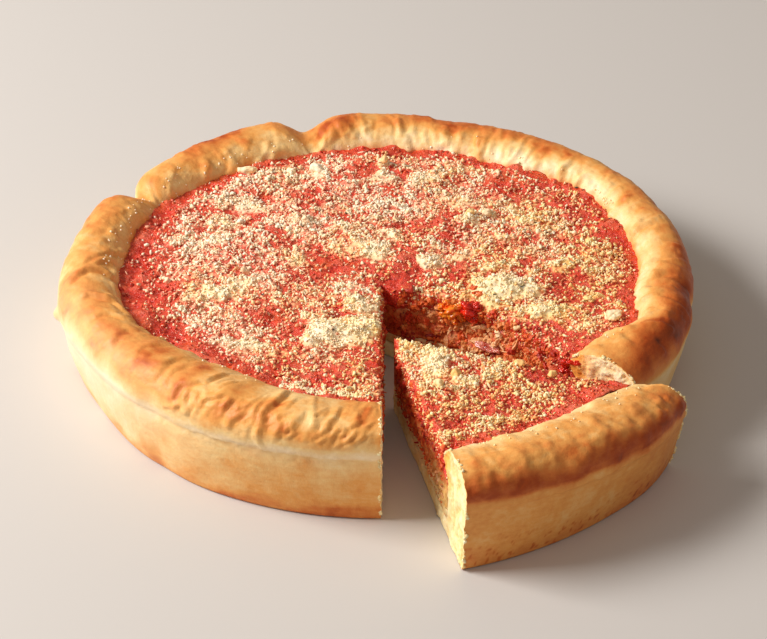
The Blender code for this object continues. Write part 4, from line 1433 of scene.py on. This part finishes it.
# Large crumbs of cheese that lie apart: x and y from the rim's centre or from the slice's tip, half size in
# mm, tone
LARGE_CRUMBS = (
    (2, 85, 2.1, 0.42), (-27, 81, 2.4, 0.06), (-38, 80, 1.7, 0.14), (-55, 0, 1.9, 0.38),
    (-86, -7, 1.3, 0.34), (38, 42, 1.8, 0.36), (45, 44, 1.6, 0.30), (87, 23, 1.5, 0.30),
    (-31, 37, 1.5, 0.34), (55, -36, 1.6, 0.36), (84, -20, 1.4, 0.28),
)
SLICE_LARGE_CRUMBS = ((43, -30, 2.0, 0.42), (54, -38, 2.0, 0.36), (17, -31, 1.7, 0.40), (9, -36, 1.8, 0.24))


def large_crumbs(name, listed, part, centre, seed):
    table = np.array(listed)
    world = turned(np.column_stack([table[:, :2] * MM, 0 * table[:, 0]]), centre, part.turn)
    heights = dropped(world[:, :2], f"{part.prefix}_sauce_layer", f"{part.prefix}_cheese_bed")[0]
    world[:, 2] = heights + table[:, 2] * 0.35 * MM
    shapes = crumb_shapes(3, len(table), seed, 0.42)
    scattered(name, world, table[:, 2] * MM, table[:, 3], shapes, grated, "grated_cheese", seed + 1)


def herbs():
    """Dark flecks of dried herb and browned onion in the sauce and the cheese, as small bent leaves."""
    draw = np.random.RandomState(451)
    listed = (
        (-65, -74), (-61, -75), (-34, -87), (-32, -87), (-4, -89), (-82, -60), (87, 64), (97, 41),
        (84, 66), (-58, 30), (-70, 22), (-40, 36), (-47, -18), (-56, 62), (-18, -48), (58, -14),
        (64, -22), (84, -58), (-14, 46), (20, -2), (70, 30), (8, 60),
    )
    extra = np.column_stack([draw.uniform(-85, 85, 26), draw.uniform(-70, 85, 26)])
    xy = np.concatenate([np.array(listed, float), extra]) * MM + RIM_CENTRE[:2]
    heights = dropped(xy, "pizza_sauce_layer", "pizza_cheese_bed")[0]
    sizes = draw.uniform(0.6, 1.1, len(xy)) * MM
    sizes[: len(listed)] *= 1.3
    keep = heights > 0.02
    places = np.column_stack([xy, heights + 0.0001])[keep]

    leaf = np.array(
        ((-1, 0, 0.25), (-0.3, 0.42, 0), (0.4, 0.36, 0.05), (1, 0, 0.3), (0.3, -0.4, 0), (-0.4, -0.36, 0.05))
    )
    leaf = np.concatenate([leaf, leaf + np.array([0, 0, 0.16])])
    base = [(0, 2, 1), (0, 3, 2), (0, 4, 3), (0, 5, 4), (6, 7, 8), (6, 8, 9), (6, 9, 10), (6, 10, 11)]
    for k in range(6):
        after = (k + 1) % 6
        base += [(k, after, after + 6), (k, after + 6, k + 6)]
    draw = np.random.RandomState(455)
    points, faces = [], []
    for k, (place, size) in enumerate(zip(places, sizes[keep])):
        spin = Matrix.Rotation(draw.uniform(0, 2 * pi), 3, "Z")
        tilt = spin @ Matrix.Rotation(draw.uniform(-0.5, 0.5), 3, "X")
        shape = leaf * size * np.array([1, draw.uniform(0.7, 1.2), 1])
        points.append(shape @ np.array(tilt).T + place)
        faces.append(np.array(base) + 12 * k)
    mesh = mesh_of("herb_flecks", np.concatenate(points), [np.concatenate(faces)])
    piece("herb_flecks", mesh, [herb_material()])


# The four cuts: whose, its first or its last, and how far out crumbs lie on it
RIGHT_CUT = (PIZZA, 0, 0.092)
LEFT_CUT = (PIZZA, 1, 0.080)
SLICE_LEFT_CUT = (SLICE, 0, 0.080)
SLICE_RIGHT_CUT = (SLICE, 1, 0.080)


def first_hit(part, kinds, start, way, far):
    """Where a ray first meets one of a part's layers, or None."""
    trees = [surface(f"{part.prefix}_{kind}_layer") for kind in kinds]
    hits = [tree.ray_cast(Vector(start), Vector(way), far) for tree in trees]
    hits = [hit for hit in hits if hit[0] is not None]
    return np.array(min(hits, key=lambda hit: hit[3])[0]) if hits else None


def cut_crumbs(cut, seed, count, low, high, tone_of, lowest=0.0085):
    """Places, sizes and tones of crumbs lodged in the filling where one cut runs through it."""
    part, which, furthest = cut
    axis, out = cut_ways(part.span[which], 1 - 2 * which)
    draw = np.random.RandomState(seed)
    distance = draw.uniform(0.003, furthest, count)
    height = draw.uniform(lowest, SAUCE_TOP + 0.001, count)
    starts = axis * distance[:, None] + out * 0.012 + np.array([0, 0, 1.0]) * height[:, None]
    starts = turned(starts, part.place, part.turn)
    way = turned(-out, 0, part.turn)
    hits = [first_hit(part, ("sausage", "sauce", "cheese"), start, way, 0.034) for start in starts]
    kept = [k for k, hit in enumerate(hits) if hit is not None]
    places = np.array([hits[k] for k in kept])
    sizes = draw.uniform(0, 1, len(kept)) ** 2.0 * (high - low) + low
    tones = tone_of(distance[kept] * IN_MM, height[kept] * IN_MM) + draw.normal(0, 0.12, len(kept))
    tones += 0.22 * layered(places * IN_MM, 7.0, 2, seed)
    return places, sizes * MM, np.clip(tones, 0, 1)


def right_face_tone(distance, height):
    """The caved cut: orange at its top, dark at the point with painted shade where the pizza's left part
    shades it, tan in its middle, red at its far end.
    """
    middle = bell(distance, 46, 24) * bell(height, 20, 9)
    orange = bell(distance, 26, 12) * bell(height, 29, 5)
    # The darkening near the point is painted shade
    ends = 0.14 * smooth(62, 85, distance) + 0.10 * smooth(14, 4, distance)
    return 0.28 + 0.46 * middle + 0.16 * orange - ends


def slice_face_tone(distance, height):
    """The slice's cut: red crumbs above, pale and cheesy below towards the rim."""
    low_end = smooth(40, 75, distance) * (1 - smooth(17, 25, height))
    return 0.22 + 0.50 * low_end + 0.10 * smooth(24, 31, height)


def spilled_tone(distance, height):
    """Grated cheese that has fallen over the top of a cut."""
    return 0.34 + 0.05 * smooth(30, 20, height)


def cut_filling(meat):
    """Crumbs of sausage in the four cuts, large and small, and grated cheese spilled over their tops."""
    for name, cut, tone_of, seed, large, small in (
        ("cut_crumbs_right", RIGHT_CUT, right_face_tone, 461, (430, 0.80, 2.10), (1000, 0.34, 0.80)),
        ("cut_crumbs_left", LEFT_CUT, slice_face_tone, 471, (70, 0.70, 1.20), (420, 0.34, 0.75)),
        ("slice_crumbs_left", SLICE_LEFT_CUT, slice_face_tone, 481, (90, 0.70, 1.30), (460, 0.34, 0.75)),
        ("slice_crumbs_right", SLICE_RIGHT_CUT, slice_face_tone, 491, (40, 0.60, 1.00), (260, 0.34, 0.70)),
    ):
        shapes = crumb_shapes(2, 12, seed + 1, 0.62, 0.25)
        found = cut_crumbs(cut, seed, *large, tone_of)
        scattered(name, *found, shapes, meat, "crumbled_sausage", seed + 2, False)
        shapes = crumb_shapes(1, 10, seed + 3, 0.60, 0.3)
        found = cut_crumbs(cut, seed + 4, *small, tone_of)
        scattered(f"{name}_small", *found, shapes, meat, "crumbled_sausage", seed + 5)
    spills = (
        (RIGHT_CUT, 495, 420, 0.023),
        (LEFT_CUT, 496, 200, 0.028),
        (SLICE_LEFT_CUT, 497, 300, 0.026),
        (SLICE_RIGHT_CUT, 498, 160, 0.029),
    )
    found = [
        cut_crumbs(cut, seed, count, 0.30, 0.72, spilled_tone, lowest) for cut, seed, count, lowest in spills
    ]
    found = [np.concatenate(values) for values in zip(*found)]
    scattered("spilled_cheese", *found, crumb_shapes(1, 8, 499, 0.42), grated, "grated_cheese", 500)


def lumps_joined(name, origin, listed, seed, rough, material, replaced=()):
    """Lumpy bodies in one mesh; listed as place from the origin, then half sizes, along x, y and z in mm."""
    shapes, base = crumb_shapes(4, len(listed), seed, rough)
    table = np.array(listed) * MM
    points = np.concatenate([shape * row[3:] + (row[:3] + origin) for shape, row in zip(shapes, table)])
    faces = [base + k * len(shapes[0]) for k in range(len(listed))]
    mesh = mesh_of(name, points, faces)
    put_values(mesh, tone=np.full(len(points), 0.2), toast=np.full(len(points), 0.4))
    piece(name, mesh, [material], replaced)


def plate(name, middle, half, turn, seed, material, replaced=(), lean=0.0):
    """A flat piece with a broken outline: its middle, half sizes in mm, and turn and lean in degrees."""
    (shape,), base = crumb_shapes(4, 1, seed, 0.0)
    outline = 1 + 0.30 * noise(shape * np.array([1, 1, 0]), 0.8, seed + 1)
    outline += 0.14 * noise(shape, 0.3, seed + 2)
    x, y = shape[:, 0] * outline, shape[:, 1] * outline
    z = np.sign(shape[:, 2]) * np.abs(shape[:, 2]) ** 0.6 * (1 + 0.4 * noise(shape, 0.35, seed + 3))
    points = np.stack([x, y, z], axis=1) * np.array(half) * MM
    turned_by = np.array(Matrix.Rotation(radians(turn), 3, "Z") @ Matrix.Rotation(radians(lean), 3, "X"))
    mesh = mesh_of(name, points @ turned_by.T + middle, [base])
    tone = np.clip(0.16 + 0.25 * noise(points * IN_MM, 2.5, seed + 4), 0, 1)
    put_values(mesh, tone=tone, toast=np.full(len(points), 0.45))
    piece(name, mesh, [material], replaced)


def on_right_cut(distance, height, inward):
    """A place on the caved cut: how far out and how high in mm, and how deep inside the crumbs."""
    axis, out = cut_ways(CUT_ANGLES[0], 1)
    start = PIZZA.place + axis * distance * MM + out * 0.012 + np.array([0, 0, height * MM])
    return first_hit(PIZZA, ("sausage", "sauce"), start, -out, 0.05) - out * inward * MM


def lodged_pieces(meat):
    """The tomato, the slab and the browned nugget in the right-hand cut, and the two flakes of cheese."""
    red = tomato_material("red_tomato", (176, 14, 6), (236, 56, 24))
    orange = tomato_material("orange_tomato", (226, 76, 14), (252, 150, 40))
    slab = tomato_material("pink_slab", (164, 58, 44), (228, 150, 124))
    listed = (
        (36.0, -13.6, 29.6, 4.0, 3.2, 3.6),
        (38.6, -13.8, 31.4, 2.2, 1.8, 1.9),
        (33.6, -12.8, 31.6, 2.0, 1.8, 1.6),
        (36.6, -15.2, 27.0, 2.2, 1.6, 1.8),
    )
    lumps_joined("red_chunk", PIZZA.place, listed, 551, 0.36, red, ["tomato_chunk_1"])
    listed = (
        (28.8, -10.9, 28.4, 3.4, 3.0, 3.0),
        (26.4, -9.8, 30.6, 1.8, 1.5, 1.5),
        (30.8, -12.2, 29.8, 1.7, 1.5, 1.8),
        (28.2, -12.8, 26.2, 2.0, 1.4, 2.2),
        (31.6, -13.2, 26.6, 1.5, 1.2, 2.0),
        (24.2, -9.0, 28.2, 1.7, 1.3, 1.5),
        (26.2, -8.4, 24.8, 2.3, 1.9, 1.8),
        (29.9, -10.4, 22.6, 2.0, 1.7, 1.8),
        (32.8, -11.8, 24.4, 1.6, 1.4, 1.5),
    )
    lumps_joined("orange_chunk", PIZZA.place, listed, 561, 0.36, orange, ["tomato_chunk_2"])
    axis, out = cut_ways(CUT_ANGLES[0], 1)
    listed = [
        (*(axis * distance + out * 0.2)[:2], height, *half)
        for distance, height, *half in (
            (89.5, 30.6, 2.0, 1.5, 1.7),
            (92.2, 32.6, 2.2, 1.4, 1.1),
            (88.4, 27.0, 1.5, 1.2, 2.1),
            (95.4, 33.6, 1.7, 1.2, 0.8),
            (90.6, 28.2, 1.2, 0.9, 1.0),
        )
    ]
    lumps_joined("pulp_on_cut_crust", PIZZA.place, listed, 567, 0.45, red)
    middle = on_right_cut(46, 17.0, -0.9)
    plate("pink_slab", middle, (7.4, 2.6, 0.8), CUT_ANGLES[0], 571, slab, (), 28.0)
    listed = ((0, 0, 0, 2.1, 1.7, 1.8), (1.2, 1.2, 1.2, 1.0, 1.0, 0.9))
    lumps_joined("browned_nugget", on_right_cut(59, 20, -1.2), listed, 575, 0.4, meat)
    for name, place, half, turn, seed, replaced in (
        ("flake", CUT_POINT + placed(0.0955, -15.5, 0), (4.3, 3.2, 1.15), 55, 581, ["cheese_flake"]),
        ("flake_at_back", (-0.057, 0.079, 0), (3.7, 1.9, 1.3), 6, 591, ()),
    ):
        middle = RIM_CENTRE + place
        middle[2] = dropped(middle[None, :2], "pizza_sauce_layer")[0][0] + 0.0007
        plate(name, middle, half, turn, seed, grated, replaced)


def sauce_pulp():
    """Soft bits of tomato that stand out of the bare sauce."""
    draw = np.random.RandomState(601)
    pulp = tomato_material("tomato_pulp", (184, 28, 16), (242, 104, 66))
    for part, count in ((PIZZA, 4200), (SLICE, 1200)):
        x, y = anywhere(part, draw, 0.1, count)
        edge, cover, _, _ = over_food(part, x, y)
        keep = (edge > 0.8) & (draw.uniform(0, 1, count) < 1 - 1.2 * cover)
        keep |= (edge > 0.1) & (edge < 1.3)
        world = turned(np.column_stack([x, y, 0 * x])[keep], part.place, part.turn)
        heights, met = dropped(world[:, :2], f"{part.prefix}_sauce_layer")
        sizes = draw.uniform(0.45, 1.25, met.sum()) * MM
        places = np.column_stack([world[met, :2], heights[met] - 0.25 * sizes])
        shapes = crumb_shapes(0, 10, 603, 0.5, 0.2)
        scattered(f"{part.prefix}_sauce_pulp", places, sizes, 0 * sizes, shapes, pulp, "tomato_pulp", 605)


def bread_crumbs():
    """Torn crumbs along the cut edges of the crusts."""
    draw = np.random.RandomState(521)
    places, sizes = [], []
    for ring, out, axis in cut_rings:
        along = ring @ axis
        skin_side = ring[along > along.max() - 0.036]
        steps = np.concatenate([[0], np.cumsum(np.linalg.norm(np.diff(skin_side, axis=0), axis=1))])
        at = draw.uniform(0, steps[-1], 16)[draw.randint(0, 16, 130)] + draw.normal(0, 1.3, 130) * MM
        found = np.stack([np.interp(at, steps, skin_side[:, k]) for k in range(3)], axis=1)
        found = found - out * draw.uniform(-0.1, 0.7, (len(at), 1)) * MM
        found[:, 2] = np.maximum(found[:, 2], 0.0008)
        places.append(found)
        sizes.append((0.22 + 0.55 * draw.uniform(0, 1, len(at)) ** 2) * MM)
    places, sizes = np.concatenate(places), np.concatenate(sizes)
    shapes = crumb_shapes(1, 6, 525, 0.40)
    mesh = scattered("bread_crumbs", places, sizes, 0 * sizes, shapes, crumb, "baked_dough", 526)
    put_values(mesh, bake=np.repeat(draw.uniform(0.0, 0.5, len(places)), len(shapes[0][0])))


rim_dust()
dust_line()
large_crumbs("large_crumbs", LARGE_CRUMBS, PIZZA, RIM_CENTRE, 531)
large_crumbs("slice_large_crumbs", SLICE_LARGE_CRUMBS, SLICE, SLICE.place, 541)
herbs()
meat = meat_material()
cut_filling(meat)
lodged_pieces(meat)
sauce_pulp()
bread_crumbs()

# ---------------------------------------------------------------- floor, light and camera
AIM = Vector((0.0028, 0.0307, 0.0))
CAMERA_DISTANCE = 1.2561
CAMERA_ELEVATION = 33.47
CAMERA_ROLL = 0.104
LENS = 140.8
SENSOR_WIDTH = 36
FLOOR_HALF = 6
FLOOR_DROP = 0.0003
# Name, place, aim, size in metres, power in watts and colour
LAMPS = (
    ("key", (-1.32, 0.02, 1.03), (0, 0, 0.02), (0.85, 0.65), 38.5, (1.0, 0.975, 0.945)),
    ("fill", (0.1, -1.6, 1.2), (0, 0, 0), (1.4, 1.0), 1.9, (1.0, 0.92, 0.84)),
)


def studio():
    """The floor, the even light from all round, the lamps and the camera."""
    scene = bpy.context.scene
    corners = [(x * FLOOR_HALF, y * FLOOR_HALF, 0) for x, y in ((-1, -1), (1, -1), (1, 1), (-1, 1))]
    floor_mesh = bpy.data.meshes.new("floor")
    floor_mesh.from_pydata(corners, [], [(0, 1, 2, 3)])
    look = Look("floor")
    look.fed(look.shader, {"Base Color": (0.60, 0.57, 0.54, 1), "Roughness": 0.85})
    floor_mesh.materials.append(look.made)
    floor = bpy.data.objects.new("floor", floor_mesh)
    floor.location = (0, 0, -FLOOR_DROP)
    scene.collection.objects.link(floor)

    scene.world = bpy.data.worlds.new("studio")
    scene.world.use_nodes = True
    background = scene.world.node_tree.nodes["Background"]
    background.inputs["Color"].default_value = (1.0, 0.875, 0.775, 1)
    background.inputs["Strength"].default_value = 0.31
    for name, place, aim, size, power, colour in LAMPS:
        light = bpy.data.lights.new(name, "AREA")
        light.shape = "RECTANGLE"
        light.size, light.size_y = size
        light.energy = power
        light.color = colour
        lamp = bpy.data.objects.new(name, light)
        lamp.location = place
        lamp.rotation_euler = (Vector(aim) - Vector(place)).to_track_quat("-Z", "Y").to_euler()
        scene.collection.objects.link(lamp)

    back = Vector((0, -cos(radians(CAMERA_ELEVATION)), sin(radians(CAMERA_ELEVATION))))
    camera = bpy.data.objects.new("camera", bpy.data.cameras.new("camera"))
    camera.data.sensor_width = SENSOR_WIDTH
    camera.data.lens = LENS
    tilt = Matrix.Rotation(radians(90 - CAMERA_ELEVATION), 4, "X")
    roll = Matrix.Rotation(radians(CAMERA_ROLL), 4, "Z")
    camera.matrix_world = Matrix.Translation(AIM + back * CAMERA_DISTANCE) @ tilt @ roll
    scene.collection.objects.link(camera)
    scene.camera = camera
    scene.view_settings.view_transform = "Standard"
    scene.view_settings.look = "None"


studio()
